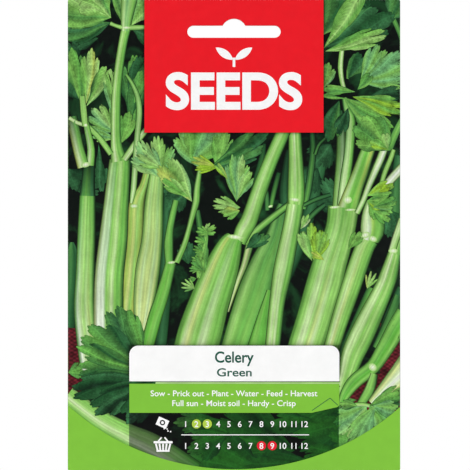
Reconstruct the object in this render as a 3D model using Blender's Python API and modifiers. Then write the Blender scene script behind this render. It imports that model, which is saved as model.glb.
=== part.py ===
"""Seed packet: a folded and glued paper envelope with a hang hole, and a heat-sealed sachet of celery seeds inside.

Run it with blender --background --python part.py, or from Blender's text editor. Metres, +Z up.
The packet hangs as it does on a display peg: the origin is the top of the hang hole, where the peg bears,
X runs to the reader's right and the printed front faces -Y.
"""

import math

import bmesh
import bpy

# Envelope
PACKET_WIDTH = 0.115
PACKET_HEIGHT = 0.163
PAPER = 0.00018
GLUE_LINE = 0.00008  # between two layers that are glued together
LOOSE_GAP = 0.0002  # between the front panel and the side flap, which aren't glued
SIDE_FLAP = 0.012
BOTTOM_FLAP = 0.014
TOP_FLAP = 0.020
FLAP_CORNER = 0.004  # cut off each free corner of the top and bottom flaps
CORNER_VENT = 0.0006  # left open between a flap's fold and the packet's side
SEAM_SETBACK = 0.001  # from the back panel's free edge to the side fold
HEADER = 0.030  # stays flat at the top, above the bulge of the contents
FRONT_BULGE = 0.0017
BACK_BULGE = 0.0017

# Hang hole: a slot with round ends, and a dome in its upper edge that finds the peg
HOLE_FROM_TOP = 0.0067  # from the packet's top edge to the top of the dome
SLOT_WIDTH = 0.0323
SLOT_HEIGHT = 0.0042
DOME_RADIUS = 0.0044
DOME_RISE = 0.0024  # how far the dome stands above the slot

# Inner sachet
FILM = 0.00008
SACHET_WIDTH = 0.064
SACHET_HEIGHT = 0.094
SACHET_SEAL = 0.005  # the heat-sealed border
SACHET_LIFT = 0.0055  # from the packet's bottom edge to the sachet's
SACHET_BULGE = 0.00118
FIT_GAP = 0.0003  # between pieces that touch

# Seeds: the settled heap, as one solid
HEAP_HEIGHT = 0.055
HEAP_SIDE_GAP = 0.0015  # from the heap's rim to the sachet's seal
HEAP_THICKNESS = 0.0021

# Mesh steps
FOLD_STEPS = 6
PANEL_COLUMNS = 18
PANEL_ROWS = 24
ARC_STEPS = 12
FILM_COLUMNS = 14
FILM_ROWS = 18
HEAP_SEGMENTS = 28
HEAP_RINGS = 12

# Places that follow from the sizes
TOP_Z = HOLE_FROM_TOP
BOTTOM_Z = TOP_Z - PACKET_HEIGHT
PANEL_PITCH = 2 * PAPER + GLUE_LINE + LOOSE_GAP  # front to back panel, between their middles
FRONT_Y = -PANEL_PITCH / 2
BACK_Y = PANEL_PITCH / 2
SIDE_FLAP_Y = BACK_Y - PAPER - GLUE_LINE
OUTER_FLAP_Y = BACK_Y + PAPER + GLUE_LINE
LEFT_FOLD = (BACK_Y - FRONT_Y) / 2
RIGHT_FOLD = (SIDE_FLAP_Y - FRONT_Y) / 2
END_FOLD = (OUTER_FLAP_Y - FRONT_Y) / 2
LEFT_X = -PACKET_WIDTH / 2 + PAPER / 2 + LEFT_FOLD
RIGHT_X = PACKET_WIDTH / 2 - PAPER / 2 - RIGHT_FOLD
PANEL_BOTTOM_Z = BOTTOM_Z + PAPER / 2 + END_FOLD
PANEL_TOP_Z = TOP_Z - PAPER / 2 - END_FOLD
HEADER_Z = TOP_Z - HEADER


def clear_scene():
    for obj in list(bpy.data.objects):
        bpy.data.objects.remove(obj)


def new_collection(name):
    collection = bpy.data.collections.new(name)
    bpy.context.scene.collection.children.link(collection)
    return collection


def make_material(name, colour, roughness, metallic=0.0):
    material = bpy.data.materials.new(name)
    material.use_nodes = True
    shader = material.node_tree.nodes["Principled BSDF"]
    shader.inputs["Base Color"].default_value = (*colour, 1.0)
    shader.inputs["Roughness"].default_value = roughness
    shader.inputs["Metallic"].default_value = metallic
    return material


def make_object(name, bm, collection, material=None):
    """Turns a bmesh into a named object and frees the bmesh."""
    mesh = bpy.data.meshes.new(name)
    bm.to_mesh(mesh)
    bm.free()
    mesh.shade_smooth()
    mesh.set_sharp_from_angle(angle=math.radians(35))
    obj = bpy.data.objects.new(name, mesh)
    collection.objects.link(obj)
    if material:
        mesh.materials.append(material)
    return obj


def add_thickness(obj, thickness):
    """Gives an open sheet its thickness, half to each side."""
    solidify = obj.modifiers.new("Sheet thickness", "SOLIDIFY")
    solidify.thickness = thickness
    solidify.offset = 0.0


def steps_between(start, end, count):
    """count + 1 values from start to end, both included."""
    return [start + (end - start) * k / count for k in range(count + 1)]


def bulge_shape(x, z):
    """The share of its full bulge that a panel has at a point: none at the folds or in the flat header."""
    across = min(1.0, x / (LEFT_X if x < 0 else RIGHT_X))
    middle = (PANEL_BOTTOM_Z + HEADER_Z) / 2
    along = (z - middle) / (HEADER_Z - middle)
    along = max(-1.0, min(1.0, along))
    end = (1 - along**2) ** 1.5 if along > 0 else 1 + along**3
    return (1 - across**3) * end


def panel_stations():
    """Columns across a panel. The outer ones fall on the corner vents and on the side flap's free edge."""
    edge = RIGHT_X - SIDE_FLAP
    right = [RIGHT_X - SIDE_FLAP / 2, RIGHT_X - CORNER_VENT]
    left = [LEFT_X + CORNER_VENT, LEFT_X + SIDE_FLAP / 2]
    return [LEFT_X, *left, *steps_between(LEFT_X + SIDE_FLAP, edge, PANEL_COLUMNS), *right, RIGHT_X]


def belt_columns():
    """(x, y, bulge) for each column of the sheet that goes round the packet, seen from above: the back panel
    from its free edge to the left fold, the front panel, the right fold and the side flap under the back panel."""
    stations = panel_stations()
    back = [x for x in reversed(stations) if x < RIGHT_X - SEAM_SETBACK]
    columns = [(x, BACK_Y, BACK_BULGE) for x in [RIGHT_X - SEAM_SETBACK, *back]]
    for angle in steps_between(0, math.pi, FOLD_STEPS)[1:-1]:
        columns.append((LEFT_X - LEFT_FOLD * math.sin(angle), LEFT_FOLD * math.cos(angle), 0.0))
    columns += [(x, FRONT_Y, -FRONT_BULGE) for x in stations]
    middle_y = (FRONT_Y + SIDE_FLAP_Y) / 2
    for angle in steps_between(0, math.pi, FOLD_STEPS)[1:-1]:
        y = middle_y - RIGHT_FOLD * math.cos(angle)
        columns.append((RIGHT_X + RIGHT_FOLD * math.sin(angle), y, 0.0))
    flap = [x for x in reversed(stations) if x > RIGHT_X - SIDE_FLAP - CORNER_VENT]
    columns += [(x, SIDE_FLAP_Y, BACK_BULGE) for x in flap]
    return columns


def end_fold_rows(flap_rows, panel_end_z, outward):
    """(kind, y or None, z) rows from a flap's free edge to the panel's end. outward is -1 at the bottom, 1 at the top."""
    rows = [("flap", OUTER_FLAP_Y, z) for z in flap_rows]
    middle_y = (FRONT_Y + OUTER_FLAP_Y) / 2
    for angle in steps_between(0, math.pi, FOLD_STEPS)[1:-1]:
        y = middle_y + END_FOLD * math.cos(angle)
        rows.append(("fold", y, panel_end_z + outward * END_FOLD * math.sin(angle)))
    return rows


def blank_rows():
    """The rows of the die-cut blank from the bottom flap's free edge to the top flap's free edge."""
    bottom = steps_between(PANEL_BOTTOM_Z + BOTTOM_FLAP, PANEL_BOTTOM_Z, 2)
    top = steps_between(PANEL_TOP_Z - TOP_FLAP, PANEL_TOP_Z, 2)
    lower = end_fold_rows(bottom, PANEL_BOTTOM_Z, -1)
    upper = end_fold_rows(top, PANEL_TOP_Z, 1)
    panel = [
        PANEL_BOTTOM_Z,
        PANEL_BOTTOM_Z + BOTTOM_FLAP / 2,
        *steps_between(PANEL_BOTTOM_Z + BOTTOM_FLAP, HEADER_Z, PANEL_ROWS),
        PANEL_TOP_Z,
    ]
    return [*lower, *[("panel", None, z) for z in panel], *reversed(upper)]


def folded_place(column, row):
    """Where a point of the blank ends up once the packet is folded."""
    x, y, bulge = column
    kind, row_y, z = row
    if kind == "panel":
        return x, y + bulge * bulge_shape(x, z), z
    if kind == "flap":
        return x, row_y + BACK_BULGE * bulge_shape(x, z), z
    return x, row_y, z


def make_envelope(collection, material):
    """One sheet: a blank laid out as a grid, trimmed to its die line, then folded."""
    columns = belt_columns()
    rows = blank_rows()
    bm = bmesh.new()
    bmesh.ops.create_grid(bm, x_segments=len(columns) - 1, y_segments=len(rows) - 1, size=1.0)
    bm.verts.ensure_lookup_table()
    cell = {}
    for vert in bm.verts:
        i = round((vert.co.x + 1) / 2 * (len(columns) - 1))
        j = round((vert.co.y + 1) / 2 * (len(rows) - 1))
        cell[vert] = (i, j)
    front = [i for i, column in enumerate(columns) if column[1] == FRONT_Y]
    first, last = front[1], front[-2]
    cut_off = []
    for face in bm.faces:
        corners = [cell[vert] for vert in face.verts]
        in_flap = any(rows[j][0] != "panel" for _, j in corners)
        beside = min(i for i, _ in corners) < first or max(i for i, _ in corners) > last
        if in_flap and beside:
            cut_off.append(face)
    for vert in bm.verts:
        i, j = cell[vert]
        vert.co = folded_place(columns[i], rows[j])
        free_edge = j in (0, len(rows) - 1)
        if free_edge and i in (first, last):
            vert.co.x += FLAP_CORNER if i == first else -FLAP_CORNER
    bmesh.ops.delete(bm, geom=cut_off, context="FACES")
    envelope = make_object("envelope", bm, collection, material)
    add_thickness(envelope, PAPER)
    return envelope


def arc_points(centre_x, centre_z, radius, start, end):
    angles = steps_between(math.radians(start), math.radians(end), ARC_STEPS)
    return [(centre_x + radius * math.cos(a), centre_z + radius * math.sin(a)) for a in angles]


def hang_hole_outline():
    """The hole's outline in X and Z, anticlockwise from the slot's lower right."""
    end = SLOT_HEIGHT / 2
    slot_top = -DOME_RISE
    middle_z = slot_top - end
    end_x = SLOT_WIDTH / 2 - end
    meets = math.degrees(math.asin((DOME_RADIUS - DOME_RISE) / DOME_RADIUS))
    return [
        *arc_points(end_x, middle_z, end, -90, 90),
        *arc_points(0.0, -DOME_RADIUS, DOME_RADIUS, meets, 180 - meets),
        *arc_points(-end_x, middle_z, end, 90, 270),
    ]


def make_hole_cutter(collection):
    """The punch for the hang hole, longer than the packet is thick."""
    reach = 10 * PANEL_PITCH
    bm = bmesh.new()
    face = bm.faces.new([bm.verts.new((x, -reach, z)) for x, z in hang_hole_outline()])
    made = bmesh.ops.extrude_face_region(bm, geom=[face])
    moved = [item for item in made["geom"] if isinstance(item, bmesh.types.BMVert)]
    bmesh.ops.translate(bm, verts=moved, vec=(0.0, 2 * reach, 0.0))
    bmesh.ops.recalc_face_normals(bm, faces=bm.faces)
    cutter = make_object("hang_hole_punch", bm, collection)
    cutter.hide_render = True
    cutter.display_type = "WIRE"
    return cutter


def punch(obj, cutter):
    cut = obj.modifiers.new("Hang hole", "BOOLEAN")
    cut.operation = "DIFFERENCE"
    cut.object = cutter
    cut.solver = "EXACT"


def sachet_shape(x, z):
    """The share of its full bulge that a sachet film has at a point inside the sealed border."""
    half_width = SACHET_WIDTH / 2 - SACHET_SEAL
    low = BOTTOM_Z + SACHET_LIFT + SACHET_SEAL
    high = low + SACHET_HEIGHT - 2 * SACHET_SEAL
    across = min(1.0, abs(x) / half_width)
    along = max(-1.0, min(1.0, (z - (low + high) / 2) / ((high - low) / 2)))
    end = (1 - along**2) ** 1.5 if along > 0 else 1 - along**4
    return (1 - across**3) * end


def make_film(name, side, collection, material):
    """One web of the sachet. side is -1 for the front film and 1 for the back one."""
    rest_y = side * (FIT_GAP + FILM) / 2
    low = BOTTOM_Z + SACHET_LIFT
    inner = SACHET_WIDTH / 2 - SACHET_SEAL
    xs = [-SACHET_WIDTH / 2, *steps_between(-inner, inner, FILM_COLUMNS), SACHET_WIDTH / 2]
    inner_zs = steps_between(low + SACHET_SEAL, low + SACHET_HEIGHT - SACHET_SEAL, FILM_ROWS)
    zs = [low, *inner_zs, low + SACHET_HEIGHT]
    bm = bmesh.new()
    bmesh.ops.create_grid(bm, x_segments=len(xs) - 1, y_segments=len(zs) - 1, size=1.0)
    for vert in bm.verts:
        x = xs[round((vert.co.x + 1) / 2 * (len(xs) - 1))]
        z = zs[round((vert.co.y + 1) / 2 * (len(zs) - 1))]
        vert.co = (x, rest_y + side * SACHET_BULGE * sachet_shape(x, z), z)
    if side > 0:
        bmesh.ops.reverse_faces(bm, faces=bm.faces)
    film = make_object(name, bm, collection, material)
    add_thickness(film, FILM)


def make_seed_heap(collection, material):
    """The seeds as they settle: a flat heap, thickest in the middle, thin at its rim and square-shouldered."""
    half_width = SACHET_WIDTH / 2 - SACHET_SEAL - HEAP_SIDE_GAP
    low = BOTTOM_Z + SACHET_LIFT + SACHET_SEAL + HEAP_SIDE_GAP
    bm = bmesh.new()
    bmesh.ops.create_uvsphere(bm, u_segments=HEAP_SEGMENTS, v_segments=HEAP_RINGS, radius=1.0)
    for vert in bm.verts:
        across, deep, pole = vert.co.x, vert.co.y, vert.co.z
        out = math.hypot(across, deep)
        squared = 1.0
        if out > 0:
            turn = math.atan2(deep, across)
            squared = (abs(math.cos(turn)) ** 3 + abs(math.sin(turn)) ** 3) ** (-1 / 3)
        x = across * squared * half_width
        z = low + HEAP_HEIGHT / 2 + deep * squared * HEAP_HEIGHT / 2
        vert.co = (x, -math.copysign(pole**2, pole) * HEAP_THICKNESS / 2, z)
    make_object("celery_seeds", bm, collection, material)


def main():
    clear_scene()
    packet = new_collection("seed_packet")
    cutters = new_collection("cutters")
    paper = make_material("printed_paper", (0.22, 0.54, 0.05), 0.45)
    foil = make_material("sachet_film", (0.80, 0.80, 0.78), 0.35, 0.4)
    seed = make_material("celery_seed", (0.20, 0.12, 0.05), 0.85)
    envelope = make_envelope(packet, paper)
    punch(envelope, make_hole_cutter(cutters))
    make_film("sachet_front_film", -1, packet, foil)
    make_film("sachet_back_film", 1, packet, foil)
    make_seed_heap(packet, seed)


main()
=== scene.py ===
"""The looks of a hanging seed packet: printed faces, folded paper, and the sachet and seeds inside."""

import itertools
import math
import random

import bmesh
import bpy
from bpy.props import FloatProperty, FloatVectorProperty, IntProperty, PointerProperty, StringProperty
from mathutils import Matrix, Vector, noise


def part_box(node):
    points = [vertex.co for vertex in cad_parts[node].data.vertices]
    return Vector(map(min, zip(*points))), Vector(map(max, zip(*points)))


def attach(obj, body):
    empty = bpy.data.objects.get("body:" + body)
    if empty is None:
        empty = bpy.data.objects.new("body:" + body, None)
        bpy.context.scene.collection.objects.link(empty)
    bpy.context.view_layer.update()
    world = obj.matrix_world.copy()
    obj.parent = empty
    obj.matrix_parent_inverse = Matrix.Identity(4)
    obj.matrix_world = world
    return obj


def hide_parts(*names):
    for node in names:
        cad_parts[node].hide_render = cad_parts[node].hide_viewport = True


bl_info = {
    "name": "Seed Packet Looks",
    "version": (1, 0, 0),
    "blender": (4, 5, 0),
    "location": "3D View > Sidebar > Seed Packet",
    "description": "Prints and finishes a hanging paper seed packet round its measured frame",
    "category": "Object",
}

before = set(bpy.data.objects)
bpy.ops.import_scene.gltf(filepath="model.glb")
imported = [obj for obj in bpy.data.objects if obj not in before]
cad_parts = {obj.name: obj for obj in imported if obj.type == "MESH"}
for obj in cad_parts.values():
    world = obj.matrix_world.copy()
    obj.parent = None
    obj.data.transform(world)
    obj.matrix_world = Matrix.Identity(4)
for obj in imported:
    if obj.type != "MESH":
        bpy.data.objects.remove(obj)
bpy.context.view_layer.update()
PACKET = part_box("envelope")
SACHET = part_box("sachet_front_film")
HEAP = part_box("celery_seeds")

# Places on the packet are in millimetres: x from its centre line, down from its top edge
MM = 0.001
HALF_WIDTH = PACKET[1][0] / MM
TALL = (PACKET[1][2] - PACKET[0][2]) / MM
TOP_EDGE = PACKET[1][2] / MM
HEADER = 30.0  # stays flat, above the bulge
SHEET_FRONT = 0.41  # the paper's front face in the header
FLAP = 0.26  # the flaps glued to the back stand this far out from it
TOP_FLAP, BOTTOM_FLAP = 20.0, 14.0
FRONT_BULGE = -PACKET[0][1] / MM - SHEET_FRONT
BACK_BULGE = PACKET[1][1] / MM - SHEET_FRONT
HOLE_TOP = TOP_EDGE  # the packet's origin is at the top of its hang hole
SLOT_LENGTH, SLOT_END = 32.3, 2.1  # the hole's slot, and the radius of its round ends
DOME, DOME_RISE = 4.4, 2.4  # the hole's dome: its radius, and how far it stands above the slot

# How printed shapes lie on the paper
FRONT_GAP, BACK_GAP = 0.012, 0.02  # from the paper to the lowest printed layer
LAYER = 0.006  # each printed shape lies this far in front of the one it covers
FILM = 0.0015  # thickness of a printed shape
EASE = 3.0  # the layers draw together within this distance of a fold
SQUARE = 2.0  # side of the squares on which the layers are counted
CELL = 2.0  # widest mesh cell where the panel bulges
BLEED = 0.12  # the picture stops this far from the fold
RIM_SHADE = 0.3  # tone of the dark rim that is printed under each stalk and leaf
STALK_RIM, STEM_RIM, LOW_RIM, LEAF_RIM = 0.25, 0.16, 0.2, 0.18  # how wide that rim shows
OVER = 45  # level of the shapes that are printed over the picture
WORDS = OVER + 3  # level of the words on them
BACK = 2  # level of the printing on the back
CAPITAL = 0.73  # height of a capital letter, as a share of the font's size

# Card, band, lower corners and calendar
CARD_X = 0.12  # middle of the card and the band
CARD_TOP, CARD_FOOT, CARD_RADIUS = 119.7, 132.0, 3.1
BAND_TOP, BAND_FOOT = 132.85, 142.9
ARC_X, ARC_DOWN, ARC_RADIUS = 0.35, 76.15, 86.35  # the wide arc over the lower corners: its centre and radius
CORNER_SIDE = 141.0  # about where that arc meets the packet's sides
MONTH_X = {month: -16.7 + (month - 1) * 3.74 for month in range(1, 13)}
SOW_MONTHS, PICK_MONTHS = (2, 3), (8, 9)

# Sachet and seeds
SEAL, SEAL_GAP = 5.0, 0.01  # the sealed border, and half the gap between the films there
SACHET_FILM = 0.08
CRIMP, CRIMP_PITCH = 0.06, 1.6  # height and pitch of the seal's ridges
SEED_APART, SEED_CELL = 0.95, 1.1  # least distance between seeds, and the grid on which it is tested
MOST_TRIES = 60000

# Camera
LENS, SENSOR = 200, 36
SHEET_AHEAD = 0.5  # the view is set for a plane this far in front of the packet's middle
VIEW_X, VIEW_SHARE = 0.35, 0.997  # the view's middle, and its height as a share of the packet's

# Words
BAND_WORDS = (  # words, down and width
    ("Sow - Prick out - Plant - Water - Feed - Harvest", 136.1, 57.6),
    ("Full sun - Moist soil - Hardy - Crisp", 139.5, 42.6),
)
GROWING_NOTES = (
    "Sow thinly on fine moist compost in early spring.",
    "Press lightly and do not cover, seeds need light.",
    "Keep at 18 degrees until the seedlings show.",
    "Prick out when large enough to handle.",
    "Plant out in rich soil after the last frost.",
    "Water well in dry weather. Harvest when crisp.",
)
SKETCH_WORDS = ((-30, "5 mm deep"), (0, "25 cm apart"), (30, "12 to 16 weeks"))


def ink(red, green, blue):
    """A print colour given as 0 to 255 display values, made linear."""
    values = [red / 255, green / 255, blue / 255]
    return tuple(v / 12.92 if v <= 0.04045 else ((v + 0.055) / 1.055) ** 2.4 for v in values)


WHITE = (0.98, 0.98, 0.98)
PANEL_TINT = (0.33, 0.30, 0.42)  # the calendar panel over the pale stalk at its left end
DEEP_TINT = (0.12, 0.30, 0.17)  # and over the rest of the picture

# Inks of the celery picture, each under the letter that the tables below use
INKS = {
    "k": ink(4, 12, 8),
    "n": ink(14, 50, 28),
    "d": ink(34, 88, 46),
    "a": ink(58, 116, 70),
    "m": ink(84, 148, 72),
    "e": ink(108, 178, 78),
    "s": ink(96, 178, 62),
    "g": ink(132, 194, 90),
    "b": ink(118, 184, 118),
    "l": ink(164, 212, 120),
    "y": ink(176, 196, 92),
    "c": ink(206, 218, 142),
    "v": ink(156, 204, 56),
    "p": ink(208, 230, 176),
    "w": ink(236, 242, 228),
}

# Stalks and stems: inks across the foot and across the head, ribs, and (x, down, half width) along the middle
SHADED_STEMS = [
    ("nan", "dad", 2, [(12.5, 105, 3), (22, 85.5, 2.5), (28, 66.5, 2), (31, 52, 1.7)]),
    ("nan", "nan", 2, [(-24.5, 100, 1.7), (-23.5, 81, 1.5), (-23, 64.5, 1.2)]),
    ("nadn", "amda", 2, [(-57.5, 113.5, 2.5), (-56.5, 104, 2.3), (-56, 94, 2), (-56, 87, 1.7),
        (-56, 84, 0.6)]),
    ("nmn", "dmd", 2, [(-10.5, 89.5, 1.2), (-11.5, 81, 1.1), (-12.7, 73, 0.9)]),
    ("dmd", "ndn", 2, [(6, 80, 1.5), (7.2, 67.5, 1.7), (9.5, 56, 1.1), (10.5, 50, 0.6)]),
    ("nad", "dad", 2, [(50, 121, 2), (54, 110.5, 2.3), (58.5, 100, 2)]),
    ("dem", "dem", 3, [(38.5, 125, 2.7), (40.5, 119, 2.7), (44.5, 108.5, 2.3), (48, 100, 2)]),
    ("nad", "nnn", 2, [(-25.5, 121, 2), (-24.5, 111, 2), (-23, 101.5, 1.2), (-22, 93.5, 0.6)]),
    ("ded", "ndn", 3, [(12.7, 72, 0.7), (13.8, 66.5, 0.9), (15.5, 60, 0.8)]),
    ("dmd", "nan", 3, [(11.5, 73, 0.8), (11.2, 67.5, 0.9), (10, 62.5, 0.8), (10.5, 58.5, 0.7)]),
    ("mdm", "ndn", 3, [(7, 104, 3), (12.5, 94, 3), (18.5, 83.5, 2.3)]),
    ("dmd", "mem", 2, [(58.5, 15.5, 0.8), (57, 11, 0.8), (55, 6.5, 0.8), (54, 4, 0.7)]),
    ("mem", "mgm", 2, [(53.5, 52, 1.2), (56, 46, 1.2), (58.5, 41, 1)]),
    ("dmd", "dad", 2, [(55, 79, 2), (56, 66.5, 2), (57, 54, 1.5)]),
]
STALKS = [
    ("aea", "ndn", 2, [(24, 72.5, 0.8), (25.4, 67, 1), (26.7, 58.5, 1), (27.3, 52, 0.9), (27, 46, 0.8)]),
    ("nmn", "ndn", 1, [(28, 53.7, 0.5), (29.3, 50.3, 0.5), (31.6, 48, 0.4), (34.5, 45, 0.4)]),
    ("dmd", "dad", 1, [(24, 71.3, 0.5), (28.3, 69.2, 0.6), (33.5, 67.5, 0.5)]),
    ("dmd", "nan", 1, [(25, 77, 0.7), (28, 73.7, 0.8), (31.5, 71, 0.6)]),
    ("nan", "knk", 2, [(18, 75.5, 1.7), (17.4, 66.5, 1.7), (18.2, 56.5, 1.2), (18.7, 52, 0.7)]),
    ("yycgyy", "ygylgd", 3, [
        (-37, 117.5, 2.4), (-36.8, 108, 2.3), (-35.4, 95, 2.8), (-34.3, 83, 2.6), (-33.6, 71, 2.5),
        (-31.2, 64.5, 1.3), (-29.2, 57.5, 1.4)]),
    ("ewplpcle", "eeglggeed", 5, [
        (-49, 130, 3.4), (-50, 124, 3.4), (-51.3, 113, 3.4), (-51.8, 105, 3.3), (-51.5, 95, 3),
        (-51, 82, 2.9), (-50.6, 67.7, 2.5)]),
    ("ammemmaan", "nnnnkknnn", 4, [(-50.6, 68, 2.5), (-50.4, 63, 2.1), (-50, 56, 1.8)]),
    ("lcpccpce", "eglglgeem", 6, [
        (-32, 115, 0.8), (-31.5, 108.5, 2.9), (-30, 95, 4), (-28.3, 83, 3.4), (-27.7, 71, 3),
        (-26.5, 59, 2.2), (-26.3, 55.5, 1.6)]),
    ("cwwwglpgegd", "glgegllgeem", 7, [
        (-43.7, 125, 4.6), (-43.3, 113.5, 4.9), (-43.3, 105, 4.9), (-43, 95, 4.8), (-41.7, 83, 4.7),
        (-40.7, 71, 4.1), (-39.7, 59, 3.6), (-39.5, 55.5, 3.3)]),
    ("lpcg", "gcam", 2, [(-2, 108, 0.1), (1, 98.5, 0.6), (3.5, 92, 0.9), (5.4, 85, 1.1), (7, 80, 1)]),
    ("elgegem", "dmamad", 4, [
        (-0.5, 123, 4.5), (6.2, 103.5, 5.4), (10.5, 91.5, 4.7), (14, 83, 3.3), (16, 74.5, 2.2),
        (17, 71, 1.8)]),
    ("sgese", "egsem", 2, [(8, 121, 3.4), (9.8, 111, 2), (12.2, 100.5, 0.7)]),
    ("mlgm", "dged", 2, [(3.7, 84.5, 1.1), (7.2, 80.5, 1.1), (12.5, 76, 1.1), (20.3, 70, 0.9)]),
    ("glplpgem", "gllpgegm", 5, [
        (13.2, 121, 2.4), (14, 113, 2.4), (15, 104, 2.5), (17, 93, 3.1), (19.6, 80, 2.8), (21, 72, 2.7),
        (21.4, 68.5, 2.4)]),
    ("gllgglee", "gglpglem", 4, [(21.3, 71, 2.4), (21.5, 68.5, 2.7), (21.5, 62.5, 2.6),
        (21.3, 54, 2.2), (21, 45, 1.9)]),
    ("glplge", "eglgem", 4, [
        (1.6, 84, 2.3), (3.3, 80, 2.7), (5.4, 76, 2.7), (8.3, 67.5, 2.5), (12, 57.5, 2.3), (17, 46, 2.2),
        (18, 43.5, 2.2)]),
    ("egpclgpplgge", "egyggegsee", 8, [
        (-15, 126.5, 7.4), (-13.3, 121, 7.4), (-11.5, 114.5, 7.4), (-8.6, 105, 6.7), (-4.5, 93.5, 5.8),
        (-1.5, 85.5, 4.2), (0.4, 82.4, 2.8)]),
    ("esges", "egsgem", 3, [
        (-30, 120, 2.1), (-27.3, 110, 2.2), (-25.6, 105, 2.1), (-24.1, 100, 2), (-22.8, 95, 1.8),
        (-21.8, 91, 1.7)]),
    ("egem", "mgem", 2, [(-22.4, 91, 1.2), (-22.6, 85, 1.4), (-22.2, 80, 1.1), (-21.3, 75, 1),
        (-20, 69.5, 0.9)]),
    ("gleg", "mlgm", 2, [
        (-19.8, 91, 0.8), (-17.2, 85, 0.8), (-15.7, 80, 0.7), (-14.4, 75, 0.8), (-13.1, 70, 1),
        (-12.7, 65, 0.9),
        (-11.8, 59, 0.6)]),
    ("glpg", "ndan", 3, [
        (34.7, 76, 1.2), (35.4, 73.5, 1.4), (36.2, 64.5, 1.5), (36.9, 56, 1.5), (37, 46, 1.3),
        (36.4, 38.5, 1.1)]),
    ("gppge", "aeged", 3, [
        (36.2, 76, 1.2), (36.8, 73, 1.3), (38.5, 61.5, 1.6), (39.7, 53, 1.5), (40.4, 42, 1.5),
        (39.1, 38, 1.1),
        (38.2, 34, 0.8)]),
    ("ypgsge", "egsgym", 3, [
        (38.4, 75.5, 3.6), (40, 70, 3.1), (41.7, 65, 2.7), (43.6, 60, 2.5), (45.3, 55, 2.3),
        (46.8, 51, 2.1)]),
    ("eglpplcplgge", "eggleggle", 9, [
        (23, 126.5, 5.7), (24.5, 120.5, 5.8), (27.5, 111, 5.9), (31, 99, 6), (33, 91.5, 5.7), (36.6, 80, 5),
        (37.8, 72, 5.2)]),
    ("gple", "gpwg", 2, [
        (42.5, 74, 0.8), (44.7, 69.5, 0.8), (46.4, 65, 0.9), (48.5, 60, 1.1), (50.7, 55, 1.2),
        (52.3, 50.5, 1.1)]),
    ("glg", "glg", 2, [(50.8, 64.5, 0.6), (52.1, 60, 0.7), (54.2, 55, 0.7), (55.2, 52, 0.6)]),
    ("pwl", "lwp", 2, [(51.5, 65.5, 1.1), (55, 61.5, 1.3), (58.3, 58, 1.4)]),
    ("glpclgge", "glllggem", 6, [
        (32.2, 126, 2.6), (34.4, 118, 2.6), (37, 109.5, 2.9), (40.2, 100, 3.2), (43.4, 90.5, 3.2),
        (45.3, 85.5, 3.1),
        (46.9, 83, 3)]),
    ("lpwgggm", "gpgysem", 4, [(46.8, 83.5, 3), (47.9, 79.5, 4), (47.8, 74.5, 3.4), (48.4, 70, 2.4)]),
    ("gleg", "dgem", 3, [(56, 89, 1.2), (57.4, 84.5, 1.1), (59.3, 80, 1.2)]),
    ("gplglge", "glpglem", 6, [
        (36, 139, 1.8), (38.6, 131, 2.7), (41, 123, 3.7), (43.7, 117, 4), (47, 110, 3.8), (51.7, 100, 3.1),
        (53.6, 95, 2.9), (55.5, 88, 2.1)]),
    ("plg", "lpg", 2, [(54.7, 87, 1.1), (56, 82.5, 1.1), (58.3, 76, 1.2)]),
    ("ded", "mdn", 3, [(49, 120.5, 1.2), (53.5, 112, 1.7), (57.2, 102.5, 1.5)]),
    ("egesge", "egesge", 4, [
        (36.8, 140.5, 0.8), (38.5, 136.5, 1.7), (41.8, 132, 2.3), (48, 127, 2.3), (52, 121, 2.7),
        (56, 114, 3.1),
        (59.3, 108.5, 3.1)]),
    ("ege", "lgd", 2, [(43.7, 140, 1.2), (46.8, 135, 1.5), (48.5, 129.5, 1.1)]),
    ("lcpwpcye", "lcpwpcyg", 6, [(47.8, 140, 1.8), (53.2, 135, 3.3), (58, 130.5, 4.6), (61.7, 127, 5.7)]),
]
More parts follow.
